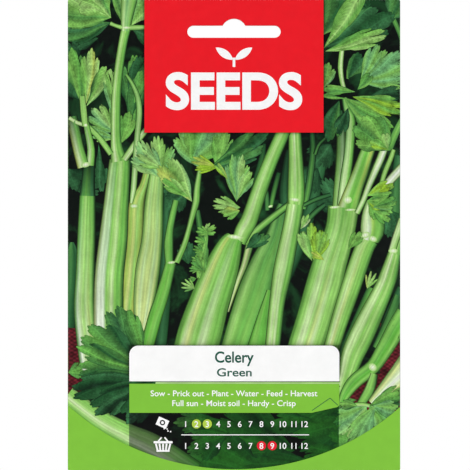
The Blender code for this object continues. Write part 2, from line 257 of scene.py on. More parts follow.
UPPER_STEMS = [
    ("glplegem", "gllgem", 4, [
        (-39.6, 56, 2.9), (-40.8, 49, 1.7), (-40.8, 35, 1.5), (-39.8, 24, 1.4), (-38.4, 15, 1.4),
        (-37.4, 10.5, 1.5)]),
    ("gplbgm", "glblgm", 4, [(-37.4, 11, 1.5), (-37.2, 7.5, 1.8), (-36.2, -0.5, 2.8)]),
    ("glpg", "glpg", 2, [(37.9, 30.5, 0.7), (37.2, 27.5, 0.7), (36.8, 23, 0.8), (37.4, 17, 0.7)]),
    ("gme", "mem", 1, [(39.3, 27.5, 0.3), (39.5, 24, 0.4), (40.8, 20.5, 0.5)]),
    ("glg", "glg", 2, [(-38.8, 9.7, 0.7), (-40.7, 9.2, 0.5), (-42.8, 8.3, 0.6)]),
    ("gle", "glm", 2, [(-36, 9.8, 0.8), (-33.8, 9.8, 0.8), (-31, 9.7, 0.7)]),
    ("glge", "egle", 3, [(-42.5, 53.5, 0.9), (-46.5, 48, 0.9), (-51, 43.5, 0.8)]),
    ("glpg", "gplg", 3, [(-38, 55.5, 1), (-35.5, 52, 1), (-32.7, 48, 1), (-29.8, 44.5, 0.9)]),
    ("gpg", "mgm", 2, [
        (-35.5, 70.5, 0.4), (-35.1, 68, 0.7), (-34.6, 64.5, 0.9), (-34, 55, 0.9), (-33.4, 47, 0.9),
        (-32.7, 39, 0.9), (-33.4, 33.5, 0.8), (-35.3, 29, 0.6), (-37.3, 26, 0.4)]),
    ("epge", "gmge", 3, [(-49.8, 57.5, 1.3), (-49.4, 52, 1.2), (-50.5, 46, 1), (-51.3, 42, 0.8)]),
    ("ypge", "ndmn", 3, [(-52, 58, 2), (-53.7, 52, 1.8), (-55.2, 45, 1.8), (-56, 40.5, 1.7)]),
    ("lpl", "lpl", 2, [(-51.5, 43.5, 0.6), (-54.2, 42.7, 0.6), (-57, 41, 0.6)]),
    ("glg", "lgl", 2, [(-51.5, 43.7, 0.9), (-52, 38.5, 1), (-52.5, 33.5, 0.8)]),
]
LOW_STALKS = [
    ("lgplglge", "eglplggl", 7, [
        (-13.5, 163.5, 3.7), (-27.5, 155, 4.3), (-37, 150.5, 3.8), (-47, 145, 3.4), (-57.7, 137, 3.1)]),
    ("gplplg", "glpplg", 6, [(-37, 133, 0.8), (2, 133, 0.8), (36.7, 133, 0.8)]),
    ("glg", "glp", 2, [(36.6, 143, 0.6), (39.5, 140.8, 0.6), (43.7, 140, 0.6), (48, 140.8, 0.5)]),
]

# Leaves: base x, base down, tip x, tip down, half spread in degrees, lobes, inks across, depth of the teeth
SHADED_LEAVES = [
    (29, 58.5, 22, 66.5, 60, 3, "nan", 0.1),
    (33.5, 50, 27, 58.5, 55, 3, "nan", 0.1),
    (39.5, 75, 30, 62.5, 50, 3, "nan", 0.1),
    (-57.5, 58.5, -54, 66.5, 60, 3, "na", 0.1),
    (-54, 66.5, -46, 62.5, 50, 3, "na", 0.1),
    (-26, 66.5, -19, 58.5, 60, 3, "na", 0.1),
    (-16.5, 66.5, -23, 73, 50, 3, "nan", 0.1),
    (44.5, 146, 18.5, 150, 44, 5, "mameam", 0.08),
    (42.5, 138.5, 18.5, 140.5, 20, 3, "mem", 0.08),
    (21, 156, -10.5, 148, 40, 5, "maemdm", 0.08),
    (12.5, 166.5, -16.5, 156, 40, 5, "mamema", 0.08),
    (31, 162.5, 2, 162.5, 30, 4, "mema", 0.08),
    (-6.5, 145, -21, 146, 30, 3, "mea", 0.08),
    (39.5, 156, 23, 164.5, 40, 4, "mamem", 0.08),
    (43.5, 154, 33.5, 148, 50, 4, "mem", 0.08),
    (-2, 150, -16.5, 156, 40, 3, "amem", 0.08),
    (27, 145, 12.5, 148, 30, 3, "amea", 0.08),
    (54, 73, 58.5, 83.5, 50, 3, "da", 0.1),
    (-44, 63.5, -48, 58.5, 60, 3, "da", 0.1),
    (-46.8, 50, -45.7, 67, 10, 1, "dad", 0.05),
    (-15.7, 91.5, -16.7, 83.5, 50, 4, "dad", 0.12),
]
BACK_LEAVES = [
    (-54, 21, -59.5, 15.5, 60, 3, "nan", 0.08),
    (-47, 13.5, -56.5, 14.5, 40, 3, "nadn", 0.08),
    (-42.5, 8, -59.5, 13.5, 26, 4, "admamd", 0.05),
    (-42.5, 6.3, -62.5, 1, 40, 4, "mgmglgm", 0.05),
    (-42.5, 6.5, -49, -4, 26, 2, "glmg", 0.04),
    (-45, 4, -54, 2, 30, 2, "glg", 0.03),
    (-35.8, 9.2, -29.2, -2, 34, 2, "bgl", 0.03),
    (-38.3, 9.5, -40.6, -3, 13, 2, "gml", 0.03),
    (-35, 10.5, -26, 14.5, 34, 3, "dad", 0.08),
    (-34.5, 43.7, -34.7, 19, 22, 3, "dmemd", 0.05),
    (-36.3, 34.5, -27, 18.5, 34, 3, "adma", 0.06),
    (-36, 43.7, -34.5, 26, 14, 2, "dmd", 0.05),
    (-34.5, 36, -31, 24, 20, 2, "mem", 0.04),
    (-54, 34.5, -56.5, 26, 60, 2, "nan", 0.05),
    (-52.5, 36.5, -55.5, 16.5, 19, 3, "mgemg", 0.04),
    (-51.3, 36.5, -48, 17, 17, 3, "eglylg", 0.04),
    (-51, 37, -42, 23, 17, 2, "dglm", 0.05),
    (-41.3, 46, -49.6, 38, 46, 5, "bgblgb", 0.09),
    (-41, 48, -49.4, 47, 26, 4, "lgbgb", 0.09),
    (-40.5, 44, -43.3, 23, 14, 4, "bglb", 0.15),
    (-39.2, 50, -35.5, 39, 30, 3, "mege", 0.05),
]
UPPER_LEAVES = [
    (30.5, 12.5, 39.5, -3, 34, 3, "dmdmg", 0.04),
    (30.5, 17.7, 48, -2, 16, 2, "nadn", 0.03),
    (54, 7.3, 59.3, -3, 44, 3, "amdma", 0.05),
    (31, 16.7, 56, 6.3, 24, 3, "madadn", 0.03),
    (31, 17, 46, -3, 14, 1, "egleg", 0.02),
    (31.5, 18, 53.3, 11.7, 15, 4, "meglgl", 0.05),
    (39.5, 27.3, 44.7, 18.3, 34, 2, "mdam", 0.05),
    (30.5, 31, 33.3, 22, 36, 3, "dmgb", 0.06),
    (44, 28.5, 61.5, 22, 42, 5, "bgbbgbgb", 0.06),
    (43.7, 28.3, 50.6, 15.6, 20, 3, "gbgb", 0.06),
    (46, 34, 59.3, 31, 20, 3, "nana", 0.05),
    (42, 32, 30, 30.5, 15, 3, "emegm", 0.04),
    (42.7, 31.3, 48, 26, 26, 2, "emg", 0.03),
    (38.7, 34.3, 30, 33.5, 9, 1, "mgem", 0.02),
    (36.4, 35, 31.6, 49, 28, 3, "dmdad", 0.05),
    (39.5, 37.5, 36.5, 47, 26, 3, "nanan", 0.05),
    (38, 34, 54.5, 46.5, 25, 4, "mgemgm", 0.05),
    (41, 33.7, 59.3, 38.3, 19, 4, "gevevg", 0.06),
    (54, 52.3, 42.7, 41.5, 46, 4, "mgemgeme", 0.05),
    (53.7, 52, 46.8, 49, 26, 3, "gvgeg", 0.05),
    (53.3, 52, 52, 46, 30, 2, "glm", 0.04),
]
MIDDLE_LEAVES = [
    (-26, 61.5, -29.2, 47, 60, 4, "lblgb", 0.12),
    (-25, 58.5, -33.2, 52, 40, 4, "glb", 0.2),
    (-14.5, 70, -24.5, 54.5, 27, 2, "lyglb", 0.08),
    (-15.5, 68.5, -25, 62, 22, 3, "gel", 0.1),
    (-11.5, 58.5, -18.8, 43.7, 34, 3, "bgbg", 0.07),
    (-14.6, 56.3, -6.3, 42.7, 50, 4, "gebge", 0.08),
    (-6.3, 58.5, -2, 45, 30, 3, "egm", 0.1),
    (-8.4, 58.5, 12.5, 47, 18, 3, "dmdame", 0.05),
    (-8.4, 58.5, 10.5, 53, 14, 3, "dmad", 0.06),
    (0.9, 70, 0.6, 53, 26, 4, "gbgblgb", 0.08),
    (1, 69.5, 5.6, 59, 22, 3, "blgb", 0.08),
    (2.2, 72, -8, 71, 32, 4, "glg", 0.16),
    (2, 73, -4, 75, 40, 3, "egy", 0.12),
    (-6.3, 57.8, -14.7, 55.2, 26, 4, "vyv", 0.14),
    (-6, 58.3, -13.4, 59, 20, 3, "vv", 0.14),
    (-2, 62.5, -6.3, 56.3, 16, 2, "vgy", 0.1),
    (-10.5, 81, -6.3, 78, 50, 3, "lge", 0.2),
    (-9, 78.5, -12.6, 97, 12, 3, "mgm", 0.06),
    (-9, 81, -13, 79.5, 44, 4, "geg", 0.16),
    (-9.6, 84, -13.6, 83, 44, 4, "mgem", 0.16),
    (-10.5, 87, -14.2, 86, 40, 4, "gem", 0.16),
    (-11.5, 90.2, -14.8, 89.8, 40, 4, "mge", 0.18),
    (-12.2, 93.3, -15.5, 93.5, 40, 4, "gmg", 0.18),
    (-13, 96.5, -15.8, 97, 36, 4, "emg", 0.2),
    (-13.6, 100, -18, 97.7, 50, 5, "mlg", 0.3),
    (-10.5, 93.7, -14.6, 89.5, 50, 4, "emg", 0.2),
    (27.6, 90.2, 26, 77.3, 34, 3, "egve", 0.1),
    (28.7, 89.8, 30.7, 79.5, 33, 4, "vgv", 0.14),
    (31.2, 90.2, 26.8, 87.3, 24, 3, "vyv", 0.1),
    (23, 79.5, 26, 74.5, 26, 3, "lgp", 0.1),
    (27, 90.5, 21.8, 80, 18, 2, "gle", 0.1),
    (46, 69.6, 55, 73.3, 56, 5, "emgegveg", 0.08),
    (46, 68, 55.3, 63.5, 28, 3, "gvge", 0.08),
    (48, 72, 56.6, 69.5, 30, 4, "gemgb", 0.1),
    (48, 73, 54, 77, 34, 3, "mgem", 0.1),
    (50, 66.7, 54, 64.5, 30, 2, "vv", 0.1),
    (46, 100, 48, 94, 36, 4, "ylg", 0.3),
    (39.5, 86.5, 43.7, 80, 30, 3, "ege", 0.08),
    (4.5, 86, 12.7, 82, 22, 3, "dmad", 0.05),
    (4, 86.5, 9.3, 81, 20, 2, "dad", 0.05),
]
LOW_LEAVES = [
    (-57.3, 129, -51, 128, 50, 4, "mem", 0.14),
    (-27, 127.3, -54.6, 126.7, 17, 4, "emdmesm", 0.035),
    (-30, 129, -43.8, 107, 25, 4, "mamamdm", 0.035),
    (-29.2, 128.5, -53.2, 115.8, 26, 4, "mdmemda", 0.035),
    (-29.2, 129, -55, 121.5, 13, 3, "dmedm", 0.035),
    (-31.5, 126, -36, 107, 16, 3, "dmem", 0.035),
    (-26, 134.5, -37.8, 146, 24, 3, "ndadn", 0.035),
    (-27, 132.8, -53.8, 131.5, 18, 4, "dnadm", 0.035),
    (-27, 131.8, -57, 134.5, 17, 4, "nadndad", 0.035),
    (-27, 131.5, -50.2, 141.2, 20, 4, "danadnda", 0.035),
    (-26.7, 131.5, -39.2, 143.5, 24, 4, "ndadnd", 0.035),
    (46.8, 140.5, 60.5, 135, 26, 4, "mgedm", 0.06),
    (45.8, 140.5, 36.5, 151, 46, 5, "bglbgb", 0.07),
    (46.8, 140.5, 53, 148.5, 40, 5, "gbegbg", 0.07),
    (48, 140.5, 57.2, 142.7, 34, 4, "bgbm", 0.06),
    (42.7, 140.5, 36.5, 139.5, 30, 3, "dgm", 0.06),
    (49, 140.5, 39.5, 154, 26, 4, "bg", 0.12),
]

# Pale joints where stalks fork: x, down, half width, half height, turn in degrees
JOINTS = [
    (0.5, 82.2, 2.8, 0.8, 6),
    (21, 69.3, 1.8, 0.7, 8),
    (39.2, 69.4, 1.6, 1.3, 0),
    (34.9, 71.9, 1.9, 0.5, -5),
    (40.2, 72.8, 1.9, 0.4, -2),
    (45.4, 81.5, 1.6, 1.1, -20),
    (48, 82.8, 1.5, 1, 20),
    (55, 87, 1.6, 0.9, 0),
    (47.9, 127.2, 1.5, 1.3, 40),
    (-34.5, 71.5, 1.3, 0.7, 0),
    (-51.3, 57.2, 1.6, 0.9, -12),
    (-37.3, 9.8, 1.7, 0.5, 0),
    (-21.6, 91, 1.4, 0.5, -6),
    (12.6, 71.6, 0.8, 0.4, -20),
    (-51.3, 43.5, 0.7, 0.6, 0),
    (52.7, 51.7, 1, 0.6, 20),
]


def colour_choice(name, description, default):
    return FloatVectorProperty(
        name=name, description=description, subtype="COLOR", min=0, max=1, default=default
    )


def size_choice(name, description, default, low, high):
    return FloatProperty(
        name=name, description=description, default=default, min=low, max=high, unit="LENGTH"
    )


class PacketLooks(bpy.types.PropertyGroup):
    """Sizes and colours of the printing and finish that a user would change."""

    label_colour: colour_choice("Label", "Colour of the header label", ink(238, 25, 37))
    band_colour: colour_choice("Band", "Colour of the band and the lower corners", ink(129, 195, 62))
    word_colour: colour_choice("Card words", "Colour of the words on the card", ink(10, 84, 66))
    sow_colour: colour_choice("Sowing dots", "Colour behind the sowing months", ink(178, 208, 72))
    pick_colour: colour_choice("Harvest dots", "Colour behind the harvest months", ink(226, 30, 48))
    label_width: size_choice("Label width", "Width of the header label", 0.0619, 0.02, 0.11)
    label_height: size_choice("Label height", "Height of the header label", 0.0461, 0.02, 0.08)
    card_width: size_choice("Card width", "Width of the card, the band and the calendar", 0.0725, 0.03, 0.11)
    roughness: FloatProperty(
        name="Print roughness",
        description="Roughness of the varnished print",
        default=0.42,
        min=0.1,
        max=1,
        subtype="FACTOR",
    )
    seed_count: IntProperty(name="Seeds", description="Seeds in the sachet", default=900, min=20, max=2000)
    label_word: StringProperty(name="Label word", description="Plain word on the label", default="SEEDS")
    crop_word: StringProperty(name="Crop word", description="Name of the crop on the card", default="Celery")


def looks():
    return bpy.context.scene.packet_looks


# Places on the two faces of the packet


def panel_bulge(x, down):
    """The share of its full bulge that a panel has at a place."""
    middle = (HEADER + TALL) / 2
    along = max(-1.0, min(1.0, (middle - down) / (TALL - middle)))
    across = min(1.0, abs(x) / HALF_WIDTH)
    end = (1 - along**2) ** 1.5 if along > 0 else 1 + along**3
    return (1 - across**3) * end


def edge_ease(x, down):
    """Printed layers draw together at the packet's folds: 1 inside, a quarter at the very edge."""
    inset = min(HALF_WIDTH - abs(x), down, TALL - down)
    t = max(0.0, min(1.0, inset / EASE))
    return 0.25 + 0.75 * t * t * (3 - 2 * t)


def on_front(x, down, level):
    """The place in space of a printed point on the front, at a level of the printing."""
    y = SHEET_FRONT + FRONT_GAP + FRONT_BULGE * panel_bulge(x, down) + level * LAYER * edge_ease(x, down)
    return Vector((x, -y, TOP_EDGE - down)) * MM


def on_back(x, down, level):
    """The same on the back, where x runs to the right for someone who looks at the back."""
    flap = FLAP if down < TOP_FLAP or down > TALL - BOTTOM_FLAP else 0.0
    y = SHEET_FRONT + flap + BACK_GAP + BACK_BULGE * panel_bulge(-x, down) + level * LAYER
    return Vector((-x, y, TOP_EDGE - down)) * MM


# Flat shapes: drawn in millimetres on a flat page, cut into cells, then laid on a face


def cut(part, spot, normal, clear):
    geom = [*part.verts, *part.edges, *part.faces]
    bmesh.ops.bisect_plane(part, geom=geom, dist=0.0001, plane_co=spot, plane_no=normal, clear_outer=clear)


def clip_to_panel(part):
    """Cuts a flat shape back to the panel's edges."""
    side, low = HALF_WIDTH - BLEED, TALL - BLEED
    sides = [((side, 0, 0), (1, 0, 0)), ((-side, 0, 0), (-1, 0, 0))]
    ends = [((0, 0, -BLEED), (0, 0, 1)), ((0, 0, -low), (0, 0, -1))]
    for spot, normal in sides + ends:
        if any((vert.co - Vector(spot)).dot(Vector(normal)) > 0 for vert in part.verts):
            cut(part, spot, normal, True)


def slice_flat(part):
    """Cuts a flat shape into cells, so that it can follow the bulge."""
    for axis, normal in ((0, (1, 0, 0)), (2, (0, 0, 1))):
        places = [vert.co[axis] for vert in part.verts]
        for k in range(math.floor(min(places) / CELL) + 1, math.ceil(max(places) / CELL)):
            cut(part, [k * CELL * n for n in normal], normal, False)


def add_part(bm, part):
    mesh = bpy.data.meshes.new("part")
    part.to_mesh(mesh)
    part.free()
    bm.from_mesh(mesh)
    bpy.data.meshes.remove(mesh)


def lay(bm, part, level, place=on_front):
    """Lays a flat shape on a face of the packet, faces outwards, and adds it to a mesh."""
    for vert in part.verts:
        vert.co = place(vert.co.x, -vert.co.z, level)
    outward = -1 if place is on_front else 1
    part.normal_update()
    bmesh.ops.reverse_faces(part, faces=[face for face in part.faces if face.normal.y * outward < 0])
    add_part(bm, part)


class Layers:
    """How many printed layers lie on each small square of the front, so that a new shape lies over all."""

    def __init__(self):
        self.tall = {}

    def over(self, part):
        """The level for a flat shape that covers everything under it."""
        squares = set()
        for vert in part.verts:
            for i, j in ((0, 0), (1, 0), (-1, 0), (0, 1), (0, -1)):
                squares.add((round((vert.co.x + i) / SQUARE), round((vert.co.z + j) / SQUARE)))
        level = 1 + max((self.tall.get(square, 0) for square in squares), default=0)
        for square in squares:
            self.tall[square] = level
        return level


def outline(bm, points):
    """A closed loop of edges through (x, down) points on the flat page."""
    verts = [bm.verts.new((x, 0, -down)) for x, down in points]
    return [bm.edges.new((verts[k - 1], verts[k])) for k in range(len(verts))]


def flat_shape(bm, loops, level, place=on_front):
    """A flat printed shape with straight or curved outlines. Further loops are holes in it."""
    part = bmesh.new()
    edges = [edge for points in loops for edge in outline(part, points)]
    bmesh.ops.triangle_fill(part, use_beauty=True, use_dissolve=False, edges=edges)
    slice_flat(part)
    lay(bm, part, level, place)


def arc(x, down, radius, start, end, steps=10):
    """(x, down) points on an arc; angles in degrees, anticlockwise from the right."""
    angles = [math.radians(start + (end - start) * k / steps) for k in range(steps + 1)]
    return [(x + radius * math.cos(a), down - radius * math.sin(a)) for a in angles]


def disc(x, down, radius, steps=24):
    return arc(x, down, radius, 0, 360 - 360 / steps, steps - 1)


def rounded(left, top, right, bottom, radius, lower=True):
    """A rectangle with round corners, or with only its upper corners round."""
    points = arc(right - radius, top + radius, radius, 0, 90)
    points += arc(left + radius, top + radius, radius, 90, 180)
    if lower:
        points += arc(left + radius, bottom - radius, radius, 180, 270)
        points += arc(right - radius, bottom - radius, radius, 270, 360)
    else:
        points += [(left, bottom), (right, bottom)]
    return points


def seed_leaf(foot, tip, half, steps=12):
    """A pointed leaf from its foot to its tip, widest in the middle."""
    (x0, down0), (x1, down1) = foot, tip
    sides = []
    for side in (-1, 1):
        edge = []
        for k in range(steps + (side < 0)):
            t = k / steps
            swell = side * half * math.sin(math.pi * t) ** 0.8 / math.dist(foot, tip)
            x = x0 + (x1 - x0) * t - (down1 - down0) * swell
            edge.append((x, down0 + (down1 - down0) * t + (x1 - x0) * swell))
        sides.append(edge)
    return sides[0] + sides[1][:0:-1]


def stroke(bm, points, width, level, place=on_front):
    """A printed line of even width through the points."""
    for (x0, d0), (x1, d1) in zip(points, points[1:]):
        length = math.hypot(x1 - x0, d1 - d0)
        nx, nd = -(d1 - d0) / length * width / 2, (x1 - x0) / length * width / 2
        corners = [(x0 + nx, d0 + nd), (x1 + nx, d1 + nd), (x1 - nx, d1 - nd), (x0 - nx, d0 - nd)]
        flat_shape(bm, [corners], level, place)


def hang_hole():
    """The hole's outline, with the same slot and dome as the paper."""
    middle, reach = HOLE_TOP + DOME_RISE + SLOT_END, SLOT_LENGTH / 2 - SLOT_END
    meets = math.degrees(math.asin((DOME - DOME_RISE) / DOME))
    return [
        *arc(reach, middle, SLOT_END, -90, 90),
        *arc(0, HOLE_TOP + DOME, DOME, meets, 180 - meets),
        *arc(-reach, middle, SLOT_END, 90, 270),
    ]


def lettering(bm, body, x, down, tall, level, wide=None, bold=0.0, place=on_front, turns=4):
    """Plain words centred on a place, tall and if given wide in millimetres."""
    curve = bpy.data.curves.new("lettering", "FONT")
    curve.body = body
    curve.offset = bold
    curve.resolution_u = turns
    text = bpy.data.objects.new("lettering", curve)
    bpy.context.scene.collection.objects.link(text)
    bpy.context.view_layer.update()
    mesh = bpy.data.meshes.new_from_object(text.evaluated_get(bpy.context.evaluated_depsgraph_get()))
    bpy.data.objects.remove(text)
    bpy.data.curves.remove(curve)
    xs = [vert.co.x for vert in mesh.vertices]
    scale_z = tall / CAPITAL
    scale_x = wide / (max(xs) - min(xs)) if wide else scale_z
    start = x - (max(xs) + min(xs)) / 2 * scale_x
    foot = -down - tall / 2
    mesh.transform(Matrix(((scale_x, 0, 0, start), (0, 0, 0, 0), (0, scale_z, 0, foot), (0, 0, 0, 1))))
    part = bmesh.new()
    part.from_mesh(mesh)
    bpy.data.meshes.remove(mesh)
    slice_flat(part)
    lay(bm, part, level, place)


# Pieces and materials


def new_print():
    """A bmesh for the picture's shapes, with the ink and the map that their materials read."""
    bm = bmesh.new()
    bm.verts.layers.float_color.new("Ink")
    bm.loops.layers.uv.new("Print")
    return bm


def finish_piece(name, bm, material, film=FILM):
    """Makes a bmesh a piece of the packet. A film gets its thickness towards the paper, with a crisp rim."""
    if film:
        for edge in bm.edges:
            edge.smooth = not edge.is_boundary
    mesh = bpy.data.meshes.new(name)
    bm.to_mesh(mesh)
    bm.free()
    mesh.materials.append(material)
    mesh.shade_smooth()
    piece = bpy.data.objects.new(name, mesh)
    bpy.context.scene.collection.objects.link(piece)
    if film:
        solidify = piece.modifiers.new("film_thickness", "SOLIDIFY")
        solidify.thickness = film * MM
        solidify.offset = -1
        solidify.use_even_offset = False
    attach(piece, "root")
    return piece


def flat_piece(name, bm, ink_name, colour=WHITE):
    """A piece printed in one flat ink."""
    return finish_piece(name, bm, printed_material(f"{ink_name}_print", "flat", colour))


class Graph:
    """Adds nodes to a tree and gives back the socket that the next one uses."""

    def __init__(self, tree):
        self.tree = tree

    def node(self, kind, inputs=(), out=0, **settings):
        node = self.tree.nodes.new(kind)
        for key, value in settings.items():
            setattr(node, key, value)
        for key, value in dict(inputs).items():
            if isinstance(value, bpy.types.NodeSocket):
                self.tree.links.new(value, node.inputs[key])
            else:
                node.inputs[key].default_value = value
        return node.outputs[out]

    def math(self, operation, a, b=0.0):
        return self.node("ShaderNodeMath", {0: a, 1: b}, operation=operation)

    def product(self, first, *others):
        for other in others:
            first = self.math("MULTIPLY", first, other)
        return first

    def off_middle(self, value, middle=0.5):
        """How far a value is from a middle value, either way."""
        return self.math("ABSOLUTE", self.math("SUBTRACT", value, middle))

    def vector(self, operation, a, b):
        return self.node("ShaderNodeVectorMath", {0: a, 1: b}, operation=operation)

    def scale(self, vector, factor):
        """Multiplies a colour or vector by one number."""
        return self.node("ShaderNodeVectorMath", {0: vector, "Scale": factor}, operation="SCALE")

    def axes(self, vector):
        """The x, y and z of a vector."""
        return self.node("ShaderNodeSeparateXYZ", {0: vector}).node.outputs[:]

    def spread(self, value, low, high, to_low, to_high):
        """Stretches a range of values to another, and holds what lies outside it to its ends."""
        inputs = {"Value": value, "From Min": low, "From Max": high, "To Min": to_low, "To Max": to_high}
        return self.node("ShaderNodeMapRange", inputs)

    def noise(self, vector, scale, detail=2.0, roughness=0.5, distortion=0.0):
        inputs = {
            "Vector": vector,
            "Scale": scale,
            "Detail": detail,
            "Roughness": roughness,
            "Distortion": distortion,
        }
        return self.node("ShaderNodeTexNoise", inputs)

    def tone(self, noise, low, high):
        """A noise as a factor between two values."""
        return self.spread(noise, 0.3, 0.7, low, high)

    def places(self):
        """Object coordinates, in metres in the packet's frame."""
        return self.node("ShaderNodeTexCoord", out=3)

    def mix(self, factor, a, b):
        """Blends two colours, each a socket or a red, green and blue."""
        ends = [end if isinstance(end, bpy.types.NodeSocket) else (*end, 1) for end in (a, b)]
        return self.node("ShaderNodeMix", {0: factor, 6: ends[0], 7: ends[1]}, out=2, data_type="RGBA")

    def bump(self, strength, distance, height, **under):
        inputs = {"Strength": strength, "Distance": distance, "Height": height, **under}
        return self.node("ShaderNodeBump", inputs)

    def surface(self, colour, rough, normal):
        """Links the tree's shader and returns it."""
        shader = self.tree.nodes["Principled BSDF"]
        for name, value in (("Base Color", colour), ("Roughness", rough), ("Normal", normal)):
            self.tree.links.new(value, shader.inputs[name])
        return shader


def new_material(name):
    material = bpy.data.materials.new(name)
    material.use_nodes = True
    return material, Graph(material.node_tree)


def varnish(graph, places, colour):
    """The satin finish that all the printing shares: the paper's fine tooth, and slow waves from handling."""
    rough = looks().roughness
    tooth = graph.noise(places, 2600, 3.0, 0.6)
    waves = graph.noise(places, 45, 2.0)
    gloss = graph.tone(graph.noise(places, 600), rough - 0.05, rough + 0.06)
    fine = graph.bump(0.12, 0.00002, tooth)
    shader = graph.surface(colour, gloss, graph.bump(0.35, 0.0006, waves, Normal=fine))
    shader.inputs["Specular IOR Level"].default_value = 0.16


def box_shade(graph, x, down, box, strength, softness):
    """1 away from a rectangle, darker close round it and inside it."""
    left, top, right, bottom = box
    dx = graph.math("SUBTRACT", graph.off_middle(x, (left + right) / 2), (right - left) / 2)
    dd = graph.math("SUBTRACT", graph.off_middle(down, (top + bottom) / 2), (bottom - top) / 2)
    dx = graph.math("MAXIMUM", dx, 0.0)
    dd = graph.math("MAXIMUM", dd, 0.0)
    far = graph.math("SQRT", graph.math("ADD", graph.product(dx, dx), graph.product(dd, dd)))
    near = graph.math("EXPONENT", graph.product(far, -1 / softness))
    return graph.math("SUBTRACT", 1.0, graph.product(near, strength))


def overprint_group():
    """Darkens the picture: soft shadows round the label and the card, and the see-through calendar panel."""
    group = bpy.data.node_groups.get("overprint_shades")
    if group:
        return group
    group = bpy.data.node_groups.new("overprint_shades", "ShaderNodeTree")
    group.interface.new_socket("Color", in_out="INPUT", socket_type="NodeSocketColor")
    group.interface.new_socket("Color", in_out="OUTPUT", socket_type="NodeSocketColor")
    graph = Graph(group)
    picture = graph.node("NodeGroupInput")
    x, _, z = graph.axes(graph.scale(graph.places(), 1 / MM))
    down = graph.math("SUBTRACT", TOP_EDGE, z)
    half_card = looks().card_width / MM / 2
    half_label = looks().label_width / MM / 2
    label = box_shade(graph, x, down, (-half_label, -5, half_label, looks().label_height / MM), 0.75, 0.55)
    card = box_shade(graph, x, down, (-half_card, CARD_TOP, half_card, CARD_FOOT - 2.5), 0.8, 0.8)
    colour = graph.scale(graph.scale(picture, label), card)
    inside = graph.math("LESS_THAN", graph.math("ABSOLUTE", x), half_card)
    under = graph.product(inside, graph.math("GREATER_THAN", down, BAND_FOOT - 4))
    tint = graph.mix(graph.spread(x, -24, -10, 0, 1), PANEL_TINT, DEEP_TINT)
    colour = graph.mix(under, colour, graph.vector("MULTIPLY", colour, tint))
    end = group.nodes.new("NodeGroupOutput")
    group.links.new(colour, end.inputs[0])
    return group


def overprinted(graph, colour):
    return graph.node("ShaderNodeGroup", {0: colour}, node_tree=overprint_group())


def stalk_colour(graph, places):
    """Rounded ribs along the stalk, darker at its edges, with streaks, blotches and a fine grain."""
    base = graph.node("ShaderNodeAttribute", attribute_name="Ink")
    edge = {"Value": base.node.outputs["Alpha"], "From Max": 0.3, "To Min": 0.5}
    edge = graph.node("ShaderNodeMapRange", edge, interpolation_type="SMOOTHSTEP")
    place = graph.node("ShaderNodeUVMap", uv_map="Print")
    turn = graph.product(graph.axes(place)[0], 2 * math.pi)
    rib = graph.spread(graph.math("COSINE", turn), -1, 1, 0.9, 1.06)
    fine = graph.spread(graph.math("COSINE", graph.product(turn, 2.7)), -1, 1, 0.97, 1.03)
    stretched = graph.vector("MULTIPLY", place, (1.0, 0.045, 1.0))
    streak = graph.tone(graph.noise(stretched, 2.6, 3.0, 0.6), 0.84, 1.16)
    blotch = graph.tone(graph.noise(places, 120), 0.88, 1.1)
    grain = graph.tone(graph.noise(places, 1500), 0.95, 1.05)
    return graph.scale(base, graph.product(rib, fine, edge, streak, blotch, grain))


def leaf_colour(graph, places):
    """A pale midrib along each lobe, slanting side veins, puckers between them and a soft shine."""
    base = graph.node("ShaderNodeAttribute", attribute_name="Ink")
    lobe, out, _ = graph.axes(graph.node("ShaderNodeUVMap", uv_map="Print"))
    aside = graph.off_middle(graph.math("FRACT", lobe))
    slant = graph.math("SUBTRACT", graph.product(out, 2.2), graph.product(aside, 2.6))
    side = graph.off_middle(graph.math("FRACT", slant))
    vein = graph.product(graph.spread(side, 0.0, 0.12, 1.0, 0.0), 0.55)
    veins = graph.math("MAXIMUM", graph.spread(aside, 0.0, 0.07, 1.0, 0.0), vein)
    pucker = graph.tone(graph.noise(places, 380, 3.0, 0.6, 0.8), 0.6, 1.36)
    grain = graph.tone(graph.noise(places, 1500), 0.95, 1.05)
    hollow = graph.spread(side, 0.1, 0.5, 1.06, 0.88)
    shine = graph.spread(graph.noise(places, 210, 3.0, 0.65, 1.0), 0.55, 0.75, 0.0, 0.4)
    lit = graph.vector("ADD", graph.scale(base, 1.5), (0.02, 0.05, 0.03))
    body = graph.mix(shine, graph.scale(base, graph.product(pucker, grain, hollow)), lit)
    return graph.mix(graph.product(veins, 0.5), body, graph.scale(base, 1.9))


def printed_material(name, kind, colour=None):
    """A varnished print on coated paper. kind is flat, stalk or leaf; a flat print has one ink colour."""
    if name in bpy.data.materials:
        return bpy.data.materials[name]
    material, graph = new_material(name)
    places = graph.places()
    if kind == "flat":
        colour = graph.scale(colour, graph.tone(graph.noise(places, 260, 3.0), 0.975, 1.02))
    elif kind == "stalk":
        colour = overprinted(graph, stalk_colour(graph, places))
    else:
        colour = overprinted(graph, leaf_colour(graph, places))
    varnish(graph, places, colour)
    return material


def grained_material(name, grain, colours, shade, rough, bump):
    """A plain unprinted surface with one noise as its grain: scale, detail, roughness and distortion.

    The noise shades one colour between two factors, or blends two colours between two of its values.
    """
    material, graph = new_material(name)
    grain = graph.noise(graph.places(), *grain)
    if len(colours) == 2:
        colour = graph.mix(graph.spread(grain, *shade, 0.0, 1.0), *colours)
    else:
        colour = graph.scale(colours[0], graph.tone(grain, *shade))
    graph.surface(colour, graph.tone(grain, *rough), graph.bump(*bump, grain))
    return material


# Shapes of the celery picture


